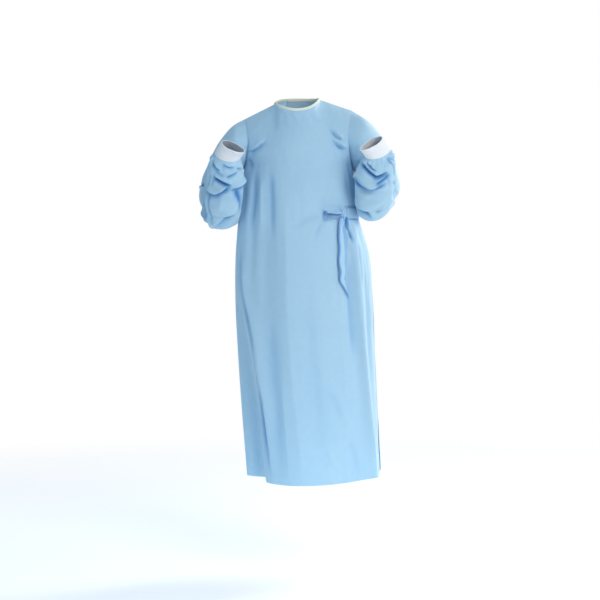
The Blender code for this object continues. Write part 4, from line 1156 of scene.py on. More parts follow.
# Each crease of a sleeve: its line as (round, along), its lift and its half width, then its profile,
# taper and tone, which scales the painted shade in its trough.
SLEEVE_CREASES = {
    Side.RIGHT: (
        Crease(
            ((0.630, 0.899), (0.705, 0.877), (0.750, 0.863), (0.815, 0.845)),
            0.0075, 0.0060, FOLD, 0.2, 1.9,
        ),
        Crease(((0.655, 0.890), (0.634, 0.855), (0.628, 0.822)), -0.0045, 0.0055, CRISP),
        Crease(
            ((0.530, 0.806), (0.580, 0.790), (0.665, 0.786),
             (0.716, 0.802), (0.761, 0.825), (0.800, 0.852)),
            0.0100, 0.0080, FOLD, 0.25, 1.8,
        ),
        Crease(
            ((0.780, 0.822), (0.869, 0.826), (0.970, 0.832), (1.040, 0.830)),
            0.0100, 0.0085, FOLD, 0.3, 2.2,
        ),
        Crease(
            ((0.835, 0.822), (0.885, 0.785), (0.930, 0.720), (0.955, 0.650)),
            -0.0080, 0.0120, SOFT, 0.3, 1.7,
        ),
        Crease(((0.800, 0.700), (0.880, 0.730), (0.950, 0.700)), 0.0045, 0.0100, CRISP),
        Crease(
            ((0.520, 0.810), (0.545, 0.740), (0.590, 0.672), (0.640, 0.622), (0.690, 0.570)),
            0.0090, 0.0150, CRISP, 0.2,
        ),
        Crease(
            ((0.450, 0.790), (0.480, 0.700), (0.520, 0.625), (0.580, 0.560)),
            -0.0070, 0.0140, SOFT, 0.25,
        ),
        Crease(((0.420, 0.835), (0.480, 0.818), (0.545, 0.826)), 0.0060, 0.0060, FOLD),
        Crease(
            ((0.660, 0.600), (0.744, 0.645), (0.812, 0.660), (0.910, 0.655)),
            0.0065, 0.0110, FOLD, 0.35, 0.6,
        ),
        Crease(((0.700, 0.700), (0.720, 0.740), (0.700, 0.780)), 0.0030, 0.0120, CRISP),
        Crease(((0.625, 0.935), (0.699, 0.917), (0.756, 0.897)), -0.0032, 0.0060, SOFT, 0.3, 3.0),
        Crease(((0.750, 0.897), (0.812, 0.916), (0.885, 0.938)), 0.0052, 0.0048, FOLD, 0.3, 2.0),
        Crease(((0.690, 0.985), (0.720, 0.955), (0.735, 0.925)), -0.0035, 0.0050, CRISP),
        Crease(((0.380, 0.965), (0.440, 0.981), (0.500, 0.982), (0.570, 0.962)), 0.0085, 0.0070, CRISP),
        Crease(((0.400, 0.940), (0.470, 0.955), (0.540, 0.940)), 0.0050, 0.0050, FOLD),
        Crease(((0.560, 0.990), (0.590, 0.960), (0.585, 0.925)), -0.0040, 0.0050, CRISP),
        Crease(
            ((0.555, 0.974), (0.610, 0.957), (0.660, 0.944), (0.712, 0.936)),
            0.0042, 0.0045, FOLD, 0.3, 2.2,
        ),
        Crease(
            ((0.695, 0.985), (0.740, 0.972), (0.795, 0.964), (0.860, 0.970)),
            0.0036, 0.0042, FOLD, 0.3, 2.6,
        ),
        # two shallow troughs that mostly carry painted shade
        Crease(
            ((0.585, 0.812), (0.592, 0.730), (0.628, 0.652), (0.682, 0.612)),
            -0.0034, 0.0045, SOFT, 0.25, 3.0,
        ),
        Crease(((0.600, 0.900), (0.590, 0.860), (0.585, 0.812)), -0.0028, 0.0045, SOFT, 0.25, 3.0),
        Crease(((0.395, 0.352), (0.455, 0.344), (0.530, 0.336)), 0.0060, 0.0060, FOLD, 0.3, 1.6),
        Crease(((0.850, 0.965), (0.920, 0.945), (1.000, 0.950)), 0.0048, 0.0060, FOLD),
        Crease(((0.470, 0.545), (0.540, 0.578), (0.610, 0.560)), 0.0075, 0.0120, CRISP),
        Crease(((0.340, 0.490), (0.440, 0.530), (0.550, 0.522)), 0.0080, 0.0100, FOLD),
        Crease(((0.300, 0.610), (0.410, 0.628), (0.510, 0.612)), 0.0070, 0.0085, FOLD),
        Crease(((0.100, 0.640), (0.200, 0.600), (0.320, 0.590)), -0.0050, 0.0090, SOFT),
        Crease(((0.130, 0.780), (0.260, 0.756), (0.390, 0.785)), 0.0070, 0.0080, FOLD),
        Crease(((0.200, 0.700), (0.310, 0.712), (0.420, 0.690)), 0.0060, 0.0080, FOLD),
        Crease(((0.250, 0.890), (0.340, 0.866), (0.430, 0.892)), 0.0055, 0.0060, FOLD),
        Crease(((0.020, 0.880), (0.110, 0.860), (0.200, 0.876)), 0.0050, 0.0065, FOLD),
        Crease(((0.080, 0.080), (0.160, 0.190), (0.210, 0.330)), -0.0046, 0.0100, SOFT),
        Crease(((0.930, 0.060), (0.860, 0.180), (0.800, 0.320)), -0.0050, 0.0110, SOFT),
        Crease(((0.600, 0.150), (0.700, 0.250), (0.760, 0.400)), -0.0046, 0.0130, SOFT),
        Crease(((0.350, 0.160), (0.300, 0.290), (0.330, 0.420)), 0.0040, 0.0120, CRISP),
        Crease(((0.480, 0.240), (0.520, 0.340), (0.500, 0.450)), 0.0040, 0.0130, CRISP),
        Crease(((0.020, 0.200), (0.120, 0.280), (0.230, 0.270)), 0.0055, 0.0080, FOLD),
        Crease(((0.760, 0.470), (0.860, 0.520), (0.980, 0.520)), 0.0070, 0.0090, FOLD),
        Crease(((0.020, 0.450), (0.120, 0.480), (0.230, 0.450)), 0.0070, 0.0085, FOLD),
    ),
    Side.LEFT: (
        Crease(((1.020, 0.968), (0.900, 0.957), (0.830, 0.927), (0.778, 0.897), (0.748, 0.882), (0.699, 0.892),
                (0.630, 0.902)), 0.0072, 0.0060, FOLD, 0.2, 2.0),
        Crease(((0.765, 0.832), (0.699, 0.857), (0.625, 0.886)), 0.0062, 0.0050, FOLD, 0.25, 2.0),
        Crease(((1.060, 0.862), (0.970, 0.838), (0.898, 0.826), (0.830, 0.812), (0.773, 0.802), (0.722, 0.817),
                (0.645, 0.838)), 0.0110, 0.0085, FOLD, 0.2, 2.4),
        Crease(
            ((0.990, 0.850), (0.915, 0.836), (0.850, 0.806), (0.800, 0.792)),
            -0.0060, 0.0110, SOFT, 0.3, 2.2,
        ),
        Crease(((0.860, 0.940), (0.800, 0.955), (0.740, 0.930)), -0.0030, 0.0060, SOFT),
        Crease(((0.600, 0.822), (0.555, 0.800), (0.515, 0.765)), -0.0050, 0.0055, CRISP),
        Crease(((0.560, 0.860), (0.520, 0.800), (0.505, 0.750)), 0.0050, 0.0100, CRISP),
        Crease(
            ((0.735, 0.645), (0.690, 0.674), (0.631, 0.694), (0.530, 0.705)),
            0.0070, 0.0060, FOLD, 0.25, 1.8,
        ),
        Crease(((0.640, 0.650), (0.560, 0.655), (0.480, 0.640)), 0.0060, 0.0120, CRISP),
        Crease(((1.020, 0.640), (0.903, 0.667), (0.830, 0.657), (0.770, 0.622)), 0.0085, 0.0120, FOLD),
        Crease(((0.870, 0.735), (0.800, 0.760), (0.700, 0.745)), 0.0028, 0.0140, CRISP),
        Crease(((0.600, 0.965), (0.540, 0.982), (0.470, 0.984), (0.400, 0.960)), 0.0090, 0.0070, CRISP),
        Crease(((0.640, 0.985), (0.620, 0.955), (0.590, 0.930)), 0.0045, 0.0042, FOLD),
        Crease(((0.570, 0.985), (0.560, 0.950), (0.520, 0.925)), -0.0042, 0.0045, CRISP),
        Crease(((0.560, 0.940), (0.490, 0.952), (0.420, 0.938)), 0.0050, 0.0050, FOLD),
        Crease(
            ((0.905, 0.990), (0.835, 0.960), (0.790, 0.936), (0.742, 0.916)),
            0.0042, 0.0045, FOLD, 0.3, 2.2,
        ),
        # three shallow troughs that mostly carry painted shade
        Crease(((0.612, 0.965), (0.578, 0.900), (0.562, 0.830)), -0.0032, 0.0055, SOFT, 0.3, 2.4),
        Crease(((0.700, 0.930), (0.660, 0.860), (0.612, 0.780)), -0.0026, 0.0060, SOFT, 0.3, 2.6),
        Crease(((0.640, 0.990), (0.606, 0.968), (0.560, 0.950)), -0.0034, 0.0040, SOFT, 0.3, 3.2),
        Crease(((0.690, 0.985), (0.680, 0.955), (0.700, 0.925)), -0.0030, 0.0050, CRISP),
        Crease(((0.600, 0.560), (0.530, 0.585), (0.460, 0.555)), 0.0030, 0.0120, CRISP),
        Crease(((0.550, 0.500), (0.440, 0.535), (0.330, 0.500)), 0.0045, 0.0090, FOLD, 0.3, 1.6),
        Crease(((0.520, 0.605), (0.410, 0.628), (0.300, 0.606)), 0.0070, 0.0085, FOLD),
        Crease(((0.100, 0.650), (0.200, 0.612), (0.320, 0.600)), -0.0050, 0.0090, SOFT),
        Crease(((0.400, 0.775), (0.260, 0.748), (0.120, 0.772)), 0.0070, 0.0080, FOLD),
        Crease(((0.420, 0.700), (0.310, 0.716), (0.190, 0.695)), 0.0060, 0.0080, FOLD),
        Crease(((0.440, 0.888), (0.330, 0.864), (0.230, 0.890)), 0.0055, 0.0060, FOLD),
        Crease(((0.200, 0.876), (0.110, 0.858), (0.010, 0.880)), 0.0050, 0.0065, FOLD),
        Crease(((0.080, 0.075), (0.160, 0.180), (0.210, 0.320)), -0.0048, 0.0100, SOFT),
        Crease(((0.930, 0.065), (0.860, 0.190), (0.800, 0.330)), -0.0048, 0.0110, SOFT),
        Crease(((0.610, 0.160), (0.700, 0.260), (0.750, 0.410)), -0.0046, 0.0130, SOFT),
        Crease(((0.360, 0.150), (0.310, 0.280), (0.340, 0.410)), 0.0042, 0.0120, CRISP),
        Crease(((0.480, 0.250), (0.520, 0.350), (0.500, 0.450)), 0.0042, 0.0130, CRISP),
        Crease(((0.230, 0.262), (0.120, 0.270), (0.010, 0.190)), 0.0055, 0.0080, FOLD),
        Crease(((0.990, 0.510), (0.870, 0.515), (0.760, 0.465)), 0.0070, 0.0090, FOLD),
        Crease(((0.230, 0.455), (0.120, 0.485), (0.010, 0.450)), 0.0070, 0.0085, FOLD),
    ),
}


@dataclass
class Sleeve:
    """A set-in sleeve, from its armhole to the cuff, with the gathers where the cuff holds it."""

    side: Side
    loop: Array
    rings: int = 216
    gathers: int = 19
    gather_lift: float = 0.0017
    gather_from: float = 0.90
    thickness: float = 0.0008
    ripple: float = 0.0008
    girth: float = 0.34
    length: float = 0.48

    def __post_init__(self) -> None:
        """Builds the creased face."""
        between = (self.loop + np.roll(self.loop, -1, axis=0)) / 2
        loop = np.stack([self.loop, between], axis=1).reshape(-1, 3)
        columns = len(loop)
        table = SLEEVE_RINGS[self.side]
        grid = tube_rings([loop] + [ring_of(row, self.side, columns) for row in table], self.rings)
        self.cloth = Cloth(grid, closed=True, flip=self.side is Side.LEFT)
        along = np.linspace(0, 1, self.rings + 1)[:, None]
        round_it = np.arange(columns)[None, :] / columns
        lift = np.zeros(grid.shape[:2])
        for middle, turn, climb, spread_along, spread_round, size in SLEEVE_FOLDS:
            away = (round_it - turn + 0.5) % 1.0 - 0.5
            across = (along - middle - climb * away) / spread_along
            lift = lift + size * np.exp(-(across**2) - (away / spread_round) ** 2)
        self.cloth.move(lift)
        lift = self.cloth.crease(SLEEVE_CREASES[self.side], self.place)
        turn = 2 * math.pi * round_it
        seed = 3.0 + self.side.value
        wander = hash_wave(np.cos(turn) * 1.2 + along * 0, np.sin(turn) * 1.2 + along * 5, seed)
        waves = np.sin(turn * self.gathers + 1.5 * wander) * (0.75 + 0.5 * wander)
        held = smoothstep((along - self.gather_from) / (1 - self.gather_from))
        lift = lift + self.gather_lift * waves * held
        over = self.girth / 0.030 / (2 * math.pi)
        small = hash_wave(np.cos(turn) * over, np.sin(turn) * over + along * self.length / 0.035, seed + 2)
        lift = lift + self.ripple * small
        gap = np.minimum(along, 1 - along) * self.length
        lift = lift * smoothstep(gap / 0.016)
        self.cloth.move(lift)

    @property
    def name(self) -> str:
        """The sleeve's node."""
        return "sleeve_" + self.side.name.lower()

    def place(self, round_it: Array, along: Array) -> Array:
        """Points of the sleeve's face at a turn round it and a share along it."""
        rows, columns = self.cloth.grid.shape[:2]
        return self.cloth.at(np.asarray(round_it) * columns, np.asarray(along) * (rows - 1), 0.0)

    def make(self, finish: bpy.types.Material) -> bpy.types.Object:
        """Sews the sleeve."""
        piece = self.cloth.sew(self.name + "_cloth", self.thickness)
        return dress(piece, finish, Slot.CLOTH, self.name)


@dataclass
class Cuff:
    """A rib-knit cuff with raised ribs and a rounded mouth."""

    side: Side
    ribs: int = 44
    columns_a_rib: int = 6
    rings: int = 34
    rib_height: float = 0.0011
    mouth_rows: int = 4
    mouth_roll: float = 0.0011
    thickness: float = 0.0016

    def __post_init__(self) -> None:
        """Builds the ribbed face."""
        columns = self.ribs * self.columns_a_rib
        rings = [ring_of(row, self.side, columns) for row in CUFF_RINGS[self.side]]
        self.cloth = Cloth(tube_rings(rings, self.rings), closed=True, flip=self.side is Side.LEFT)
        round_it = np.arange(columns)[None, :] / columns
        row = np.arange(self.rings + 1)[:, None]
        wave = np.cos(2 * math.pi * self.ribs * round_it) + 0 * row
        ribs = self.rib_height * (0.5 + 0.5 * np.sign(wave) * np.abs(wave) ** 0.6)
        roll = np.clip((row - self.rings + self.mouth_rows) / self.mouth_rows, 0, 1) ** 2
        start = smoothstep(row / 3)
        around = 2 * math.pi * round_it
        drift = 0.0008 * hash_wave(3 * np.cos(around), 3 * np.sin(around), 4.0)
        self.cloth.move(ribs * start - self.mouth_roll * roll + drift * start)
        # painted shade in the valleys between the ribs
        self.cloth.darken((1 - ribs / self.rib_height) * start)

    @property
    def name(self) -> str:
        """The cuff's node."""
        return "cuff_" + self.side.name.lower()

    def make(self, finish: bpy.types.Material) -> bpy.types.Object:
        """Knits the cuff."""
        piece = self.cloth.sew(self.name + "_knit", self.thickness)
        return dress(piece, finish, Slot.KNIT, self.name)


@dataclass
class Neck:
    """The folded tape that binds the neckline, and the closing tab behind."""

    body: Body
    width: float = 0.0075
    lap: float = 0.0014
    half: float = 0.0013
    lean: float = 0.40
    lean_back: float = 0.016
    samples: tuple[int, int, int] = (70, 120, 60)
    tab_s: tuple[float, float] = (0.52, 0.68)
    tab_levels: tuple[float, float] = (0.885, 0.935)
    tab_wall: float = 0.0014
    rest: float = 0.0009

    def edge(self) -> Array:
        """The neckline, from the outer panel's free edge round the front to the inner one's."""
        body, share = self.body, self.body.form.shoulder_share
        first, second, third = self.samples
        behind = body.outer.laid_on(np.linspace(body.form.outer_edge[-1][1], share, first)[:-1], 1.0, 0.0)
        ahead = body.front.laid_on(np.linspace(share, 1 - share, second), 1.0, 0.0)
        under = body.inner.laid_on(np.linspace(1 - share, body.form.inner_edge[-1][1], third)[1:], 1.0, 0.0)
        return np.concatenate([behind, ahead, under])

    def frames(self) -> tuple[Array, Array, Array]:
        """The neckline's points, with the directions up the tape and out of its face."""
        edge = self.edge()
        lean = unit(edge * np.array([-1.0, -1.0, 0.0]) - np.array([0.0, self.lean_back, 0.0]))
        rise = unit(lean * self.lean + np.array([0.0, 0.0, 1.0]))
        ahead = unit(np.gradient(edge, axis=0))
        return edge, rise, unit(np.cross(ahead, rise))

    def make_binding(self, finishes: Finishes) -> tuple[bpy.types.Object, bpy.types.Object]:
        """Folds the tape over the neckline and sews it down."""
        edge, rise, out = self.frames()
        turn = np.linspace(0, 2 * math.pi, 21)[:-1]
        middle, reach = (self.width - self.lap) / 2, (self.width + self.lap) / 2
        up = middle + reach * np.sign(np.sin(turn)) * np.abs(np.sin(turn)) ** 0.6
        off = self.half * np.sign(np.cos(turn)) * np.abs(np.cos(turn)) ** 0.5
        along = np.linspace(0, 1, len(edge))[:, None]
        pucker = 1 + 0.10 * np.sin(along * 2 * math.pi * 95) * np.exp(-(((up - 0.0018) / 0.002) ** 2))
        grid = edge[:, None] + up[None, :, None] * rise[:, None]
        grid = grid + (off[None] * pucker)[..., None] * out[:, None]
        tape = Cloth(grid, closed=True, flip=True)
        piece = dress(tape.sew("neck_binding_tape", 0.0005), finishes.binding, Slot.TAPE, "neck_binding")
        line = edge + 0.0019 * rise + self.half * out
        sewn = Stitches(length=0.0026, gap=0.0012).row("neck_stitches", [(line, out)])
        return piece, dress(sewn, finishes.white_thread, Slot.TAPE)

    def make_tab(self, finishes: Finishes) -> tuple[bpy.types.Object, bpy.types.Object]:
        """Lays the tab over the outer panel's corner and sews it round."""
        inner, form = self.body.inner, self.body.form
        s, level = np.meshgrid(np.linspace(*self.tab_s, 49), np.linspace(*self.tab_levels, 23))

        def laid(s: Array, level: Array, out: float) -> Array:
            over = (form.lap + self.rest) * form.over_outer(s, level)
            return inner.laid_on(s, level, self.tab_wall + self.rest + over + out)

        tab = Cloth(laid(s, level, 0.0), flip=True)
        piece = dress(tab.sew("neck_tab_cloth", self.tab_wall), finishes.cloth, Slot.CLOTH, "neck_tab")
        lines = []
        rows, columns = tab.grid.shape[:2]
        for inset in (3, 19):
            lines.append((tab.grid[inset, 2:-2], tab.normals[inset, 2:-2]))
        for column in (2, columns // 2 - 2, columns // 2 + 2, columns - 3):
            lines.append((tab.grid[3:20, column], tab.normals[3:20, column]))
        sewn = Stitches(length=0.0024).row("tab_stitches", lines)
        return piece, dress(sewn, finishes.thread, Slot.CLOTH)


@dataclass
class Belt:
    """The belt at the wearer's left hip: two sewn tapes, a knot, one loop and two free ends."""

    body: Body
    height: float = -0.340
    width: float = 0.031
    wall: float = 0.0012
    rest: float = 0.0009
    tape: float = 0.0015
    knot_s: float = 0.756
    knot_size: Row = (0.020, 0.017, 0.024)
    knot_off: float = 0.0091
    anchor_s: float = 0.631
    strap_end_s: float = 0.79
    loop_length: float = 0.050
    loop_open: float = 0.014
    loop_below: float = 0.006
    loop_off: float = 0.0144
    loop_tilt: float = math.radians(22)
    loop_narrow: float = 0.75
    loop_root: tuple[float, float] = (0.35, 0.72)
    fold_rows: int = 15
    # down across off width turn
    tail_front: Table = (
        (0.0125, -0.003, 0.0080, 0.014, 0),
        (0.035, -0.0085, 0.0058, 0.017, 2),
        (0.080, -0.0100, 0.0052, 0.021, -3),
        (0.105, -0.0090, 0.0052, 0.020, 4),
        (0.130, -0.0100, 0.0052, 0.021, -5),
        (0.155, -0.0110, 0.0055, 0.020, 5),
        (0.175, -0.0085, 0.0058, 0.018, -6),
        (0.203, -0.0100, 0.0060, 0.016, 8),
        (0.225, -0.0005, 0.0065, 0.017, 36),
        (0.252, 0.0150, 0.0070, 0.023, 36),
    )
    tail_back: Table = (
        (0.0125, 0.003, 0.0035, 0.012, 0),
        (0.035, 0.004, 0.0018, 0.020, -2),
        (0.080, 0.002, 0.0016, 0.027, 2),
        (0.140, 0.000, 0.0016, 0.030, -2),
        (0.200, -0.001, 0.0018, 0.030, 0),
    )

    def __post_init__(self) -> None:
        """Finds the knot's place."""
        self.knot = self.body.front.at_height(self.knot_s, self.height, self.knot_off)
        self.beside = self.knot_size[0] / 2 + self.rest

    def folded(self, share: Array) -> Array:
        """How far a folded tape's face dips, at a share from -0.5 to 0.5 across it."""
        edge = 0.0006 * smoothstep((np.abs(share) - 0.40) / 0.10)
        fold = 0.00035 * np.exp(-(((share - 0.18) / 0.03) ** 2))
        return edge + fold

    def strips(self, finishes: Finishes) -> list[bpy.types.Object]:
        """Lays the strap round the side and the anchor in front of the knot, both sewn at their ends."""
        front, inner, form = self.body.front, self.body.inner, self.body.form
        share = np.linspace(-0.5, 0.5, self.fold_rows)
        heights = self.height + self.width * share
        after = form.s_at(self.knot[0] + self.beside, self.height)
        before = form.s_at(self.knot[0] - self.beside, self.height)
        off = self.tape + self.rest - self.folded(share)[:, None]
        s, z = np.meshgrid(np.linspace(after, 1.0, 40), heights)
        on_front = front.at_height(s, z, off)
        s, z = np.meshgrid(np.linspace(1.0, self.strap_end_s, 56)[1:], heights)
        over = (form.lap + self.rest) * form.over_outer(s, inner.level_of(s, z))
        on_back = inner.at_height(s, z, off + over)
        strap = Cloth(np.concatenate([on_front, on_back], axis=1))
        s, z = np.meshgrid(np.linspace(self.anchor_s, before, 40), heights)
        anchor = Cloth(front.at_height(s, z, off))
        made = [
            dress(strap.sew("belt_strap_tape", self.wall), finishes.cloth, Slot.CLOTH, "belt_strap"),
            dress(anchor.sew("belt_anchor_tape", self.wall), finishes.cloth, Slot.CLOTH, "belt_anchor"),
        ]
        lines = [(tape.grid[1:-1, column], tape.normals[1:-1, column])
                 for tape, columns in ((strap, (-3, -9)), (anchor, (2, 8))) for column in columns]
        sewn = Stitches(length=0.0026).row("belt_stitches", lines)
        return made + [dress(sewn, finishes.thread, Slot.CLOTH)]

    def tie_knot(self, finish: bpy.types.Material) -> bpy.types.Object:
        """Shapes a ball into the knot: a slanted turn of tape over bunched folds."""
        bpy.ops.object.select_all(action="DESELECT")
        bpy.ops.mesh.primitive_uv_sphere_add(segments=64, ring_count=40, radius=1)
        piece = bpy.context.object
        piece.name = piece.data.name = "belt_knot_tape"
        count = len(piece.data.vertices)
        points = np.empty(count * 3)
        piece.data.vertices.foreach_get("co", points)
        points = points.reshape(-1, 3)
        axis = np.array([math.cos(0.35), 0.0, math.sin(0.35)])
        beside = points @ axis
        turn = np.arctan2(points[:, 1], points @ np.array([-axis[2], 0.0, axis[0]]))
        band = smoothstep((0.46 - np.abs(beside)) / 0.10)
        creases = 0.022 * np.sin(beside * 17 + 0.8 * np.sin(turn * 2)) * band
        bunched = 0.045 * np.sin(turn * 7 + beside * 3) * (1 - band)
        size = 0.90 + 0.10 * band + creases + bunched
        square = np.abs(points) ** 0.86 * np.sign(points)
        shaped = square * size[:, None] * np.array(self.knot_size) / 2 + self.knot
        piece.data.vertices.foreach_set("co", shaped.astype(np.float32).ravel())
        # painted shade in the knot's grooves
        knot_groove_shade = np.clip(-(creases / 0.022 + bunched / 0.045), 0.0, 1.0) * 0.8
        dark = piece.data.attributes.new(SHADE, "FLOAT", "POINT")
        dark.data.foreach_set("value", knot_groove_shade.astype(np.float32))
        piece.data.uv_layers.active.data.foreach_get("uv", flat := np.empty(len(piece.data.loops) * 2))
        piece.data.uv_layers.active.data.foreach_set("uv", (flat * 0.06).astype(np.float32))
        bpy.ops.object.shade_smooth()
        return dress(piece, finish, Slot.CLOTH, "belt_knot")

    def loop_cloth(self) -> Cloth:
        """The bow's one loop, which points away from the side seam."""
        turn = np.linspace(0, math.pi, 29)
        straight = np.linspace(0, 1, 27)[:-1]
        reach = self.loop_length - self.loop_open / 2
        root_open, root_width = self.loop_root
        opening = root_open + (1 - root_open) * straight
        upper = np.stack([reach * straight, self.loop_open / 2 * opening], axis=-1)
        half_open = self.loop_open / 2
        bend = np.stack([reach + half_open * np.sin(turn), half_open * np.cos(turn)], axis=-1)
        along, height = np.concatenate([upper, bend, upper[::-1] * np.array([1.0, -1.0])]).T
        height = height - self.loop_below * smoothstep(along / (0.4 * self.loop_length))
        share = np.linspace(-0.5, 0.5, self.fold_rows)[:, None]
        across = share * self.width * self.loop_narrow
        across = across * (root_width + (1 - root_width) * smoothstep(2 * along / self.loop_length))
        sag = 0.0006 * np.sin(along / self.loop_length * 9) * (share + 0.5)
        z = self.height + height + across * math.sin(self.loop_tilt) + sag
        s = self.body.form.s_at(self.knot[0] - self.beside - along, z)
        loop = Cloth(self.body.front.at_height(s, z, self.loop_off - across * math.cos(self.loop_tilt)))
        # painted shade on the loop's bend, which faces away from the light, and along one edge of its lower
        # layer
        bent = smoothstep((along - reach) / (0.35 * self.loop_open))
        inside = np.arange(len(along)) > len(straight) + len(turn) // 2
        loop.darken(0.80 * bent + 0.45 * inside * (1 - bent) * smoothstep(0.5 - 2 * share))
        return loop

    def tail_cloth(self, table: Table, crown: Row, rows: int = 150) -> Cloth:
        """A free end of the belt, hanging from the knot against the front panel.

        Args:
            table: Its rows of places, stand-off, width and turn.
            crown: Where across it the curl stands highest, how high, and how far that wanders.
            rows: The number of rows along it.

        Returns:
            The tape's face, from its end up to the knot.
        """
        columns = np.array(table).T
        down = np.linspace(columns[0][0], columns[0][-1], rows + 1)[::-1]
        across, off, width, turn = (read(columns[0], values, down)[:, None] for values in columns[1:])
        share = np.linspace(-0.5, 0.5, self.fold_rows)
        swing = np.radians(turn)
        z = self.height - down[:, None] - share * width * np.sin(swing)
        x = self.knot[0] + across + share * width * np.cos(swing)
        root = smoothstep(1 - (down[:, None] - columns[0][0]) / 0.05)
        pleat = 0.0016 * root * np.cos(share * 2 * math.pi * 2.5)
        wave = 0.0007 * hash_wave(share * 2 + 0 * down[:, None], down[:, None] / 0.018, table[0][1] * 900)
        peak, height, wander = crown
        peak = peak + wander * hash_wave(down[:, None] / 0.020, 0 * down[:, None], 1.3)
        rising, falling = (share + 0.5) / (peak + 0.5), (0.5 - share) / (0.5 - peak)
        tent = np.clip(np.minimum(rising, falling), 0.0, 1.0)
        swell = hash_wave(down[:, None] / 0.030, 0 * down[:, None], 2.6)
        curl = height * (1 - root) * (0.75 + 0.35 * swell)
        lift = off - self.folded(share) + pleat + wave + curl * smoothstep(tent)
        tail = Cloth(self.body.front.at_height(self.body.form.s_at(x, z), z, self.tape + lift))
        # painted shade on the tape's side left of its curl's crest, away from the light, and in the pleats by
        # the knot
        under = smoothstep((peak - share) / (peak + 0.5) * 1.2) * (height > 0.002)
        tail.darken(0.85 * under * (1 - 0.5 * root) + 0.5 * root * (0.5 - 0.5 * pleat / 0.0016))
        # painted shade over the back tail, darker by the knot on its right half
        if table is self.tail_back:
            tail.darken(0.30 + 0.65 * root * smoothstep(share * 3 + 0.2))
        return tail

    def make(self, finishes: Finishes) -> list[bpy.types.Object]:
        """Makes all the belt's pieces."""
        pieces = self.strips(finishes)
        pieces.append(self.tie_knot(finishes.cloth))
        soft = (
            ("belt_loop", self.loop_cloth()),
            ("belt_tail_front", self.tail_cloth(self.tail_front, (-0.22, 0.0064, 0.07))),
            ("belt_tail_back", self.tail_cloth(self.tail_back, (0.30, 0.0016, 0.03))),
        )
        for node, cloth in soft:
            piece = cloth.sew(node + "_tape", self.wall)
            pieces.append(dress(piece, finishes.cloth, Slot.CLOTH, node))
        return pieces


@dataclass(frozen=True)
class Studio:
    """The camera, the pale floor and the soft lights."""

    eye: Row = (0.009, -5.0, -0.442)
    pitch: float = 1.85
    lens: float = 98.4
    floor_height: float = -1.440
    floor_radius: float = 4.0
    floor_solid: float = 0.9
    ambient: Row = (0.30, 0.42, 0.53)

    def camera(self) -> None:
        """Sets the camera at the photograph's viewing angle."""
        data = bpy.data.cameras.new("camera")
        data.lens, data.sensor_width, data.clip_end = self.lens, 36.0, 60.0
        seen = bpy.data.objects.new("camera", data)
        seen.location = self.eye
        seen.rotation_euler = (math.radians(90 - self.pitch), 0.0, 0.0)
        bpy.context.scene.collection.objects.link(seen)
        bpy.context.scene.camera = seen

    def floor(self) -> None:
        """Lays a round pale floor that fades into the white round it."""
        bpy.ops.object.select_all(action="DESELECT")
        bpy.ops.mesh.primitive_circle_add(
            vertices=96, radius=self.floor_radius, fill_type="NGON", location=(0, 0, self.floor_height)
        )
        floor = bpy.context.object
        floor.name = "floor"
        g = Graph("studio_floor")
        place = g.add("TexCoord", {}).outputs["Object"]
        flat = g.add("VectorMath", {0: place, 1: (1.0, 1.0, 0.0)}, operation="MULTIPLY").outputs[0]
        reach = g.add("VectorMath", {0: flat}, operation="LENGTH").outputs["Value"]
        g.put(g.shader.inputs["Alpha"], g.span(reach, self.floor_solid, self.floor_radius * 0.9, 1.0, 0.0))
        g.finish(
            (0.92, 0.92, 0.92, 1), 0.85, g.bump(g.noise(place, 40.0, 2.0), 0.0005, 0.1),
            Emission_Color=(1.0, 1.0, 1.0, 1.0), Emission_Strength=0.33, Specular_IOR_Level=0.1,
        )
        floor.data.materials.append(g.material)

    def area_light(self, name: str, place: Row, aim: Row, size: float, power: float, colour: Row) -> None:
        """Adds one soft light aimed at a point."""
        data = bpy.data.lights.new(name, "AREA")
        data.shape, data.size, data.energy, data.color = "DISK", size, power, colour
        light = bpy.data.objects.new(name, data)
        light.location = place
        way = Vector(aim) - Vector(place)
        light.rotation_euler = way.to_track_quat("-Z", "Y").to_euler()
        bpy.context.scene.collection.objects.link(light)

    def light(self) -> None:
        """Lights the gown softly, more from the viewer's right, on a white ground."""
        scene = bpy.context.scene
        scene.view_settings.view_transform = "Standard"
        world = bpy.data.worlds.new("studio_white")
        world.use_nodes = True
        tree = world.node_tree
        background = tree.nodes["Background"]
        seen = tree.nodes.new("ShaderNodeLightPath").outputs["Is Camera Ray"]
        white = tree.nodes.new("ShaderNodeMix")
        white.data_type = "RGBA"
        white.inputs["A"].default_value = (*self.ambient, 1.0)
        white.inputs["B"].default_value = (1.0, 1.0, 1.0, 1.0)
        tree.links.new(seen, white.inputs["Factor"])
        tree.links.new(white.outputs["Result"], background.inputs["Color"])
        scene.world = world
        self.area_light("key", (1.55, -3.15, 0.85), (0.0, 0.0, -0.25), 1.9, 65.0, (1.0, 0.935, 0.870))
        self.area_light("fill", (-2.6, -2.2, 0.6), (0.0, 0.0, -0.35), 1.6, 5.0, (0.90, 0.96, 1.0))
        self.area_light("side", (3.2, -0.5, -0.5), (0.2, 0.0, -0.85), 0.8, 8.0, (1.0, 0.95, 0.88))
        self.area_light("back", (2.3, 1.9, 0.9), (0.1, 0.0, -0.6), 1.3, 66.0, (1.0, 0.95, 0.88))

    def set_up(self) -> None:
        """Sets up everything round the gown."""
        self.camera()
        self.floor()
        self.light()


@dataclass(frozen=True)
class Cut:
    """A sheet of cloth as it was cut, how it is held and what it lies on or hangs from."""

    name: str
    flat: tuple[float, float]
    held: str
    rests_on: tuple[str, ...] = ()
    area: float | None = None
    sewn: tuple[str, ...] = ()

    def declare(self) -> None:
        objects = bpy.data.objects
        objects[self.name]


FRONT, OUTER, INNER = "front_panel_cloth", "back_panel_outer_cloth", "back_panel_inner_cloth"
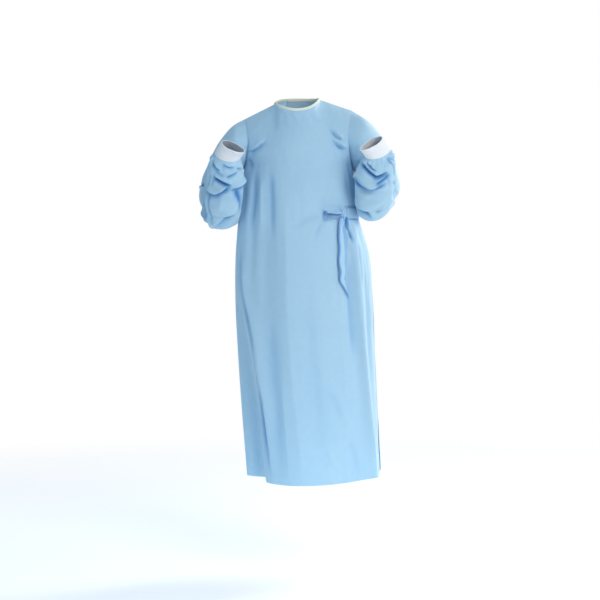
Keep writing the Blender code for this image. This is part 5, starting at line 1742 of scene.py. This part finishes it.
# A sleeve's and a cuff's flat width is all the way round it.
CUTS = (
    Cut(FRONT, (0.600, 1.170), "hung", ("neck_binding_tape",), 0.625),
    Cut(OUTER, (0.590, 1.170), "hung", (INNER, FRONT), 0.565),
    Cut(INNER, (0.412, 1.165), "hung", (FRONT,), 0.408),
    Cut("sleeve_right_cloth", (0.470, 0.500), "gathered", (FRONT, OUTER), 0.182),
    Cut("sleeve_left_cloth", (0.505, 0.485), "gathered", (FRONT, INNER), 0.187),
    Cut("cuff_right_knit", (0.235, 0.052), "stretched", ("sleeve_right_cloth",)),
    Cut("cuff_left_knit", (0.235, 0.052), "stretched", ("sleeve_left_cloth",)),
    Cut("neck_binding_tape", (0.019, 0.548), "folded", (FRONT, OUTER, INNER), None, ("neck_stitches",)),
    Cut("neck_tab_cloth", (0.072, 0.026), "laid", (INNER, OUTER), None, ("tab_stitches",)),
    Cut("belt_strap_tape", (0.031, 0.230), "laid", (FRONT, INNER), None, ("belt_stitches",)),
    Cut("belt_anchor_tape", (0.031, 0.065), "laid", (FRONT,)),
    Cut("belt_loop_tape", (0.024, 0.126), "folded", ("belt_knot_tape",)),
    Cut("belt_tail_front_tape", (0.031, 0.255), "hung", ("belt_knot_tape",)),
    Cut("belt_tail_back_tape", (0.031, 0.190), "hung", ("belt_knot_tape",)),
)


def main() -> None:
    """Sets up the studio and makes the gown, piece by piece."""
    logging.basicConfig(level=logging.INFO, format="%(name)s %(message)s")
    Studio().set_up()
    finishes = Finishes()
    body = Body(BodyForm())
    body.make(finishes.cloth)
    for side in Side:
        sleeve = Sleeve(side, body.armhole(side))
        sleeve.make(finishes.cloth)
        Cuff(side).make(finishes.knit)
        LOG.info("%s area %.3f", sleeve.name, sleeve.cloth.area())
    neck = Neck(body)
    neck.make_binding(finishes)
    neck.make_tab(finishes)
    Belt(body).make(finishes)
    for panel in (body.front, body.outer, body.inner):
        LOG.info("%s area %.3f", panel.name, panel.cloth.area())
    for cut in CUTS:
        cut.declare()


if __name__ == "__main__":
    main()
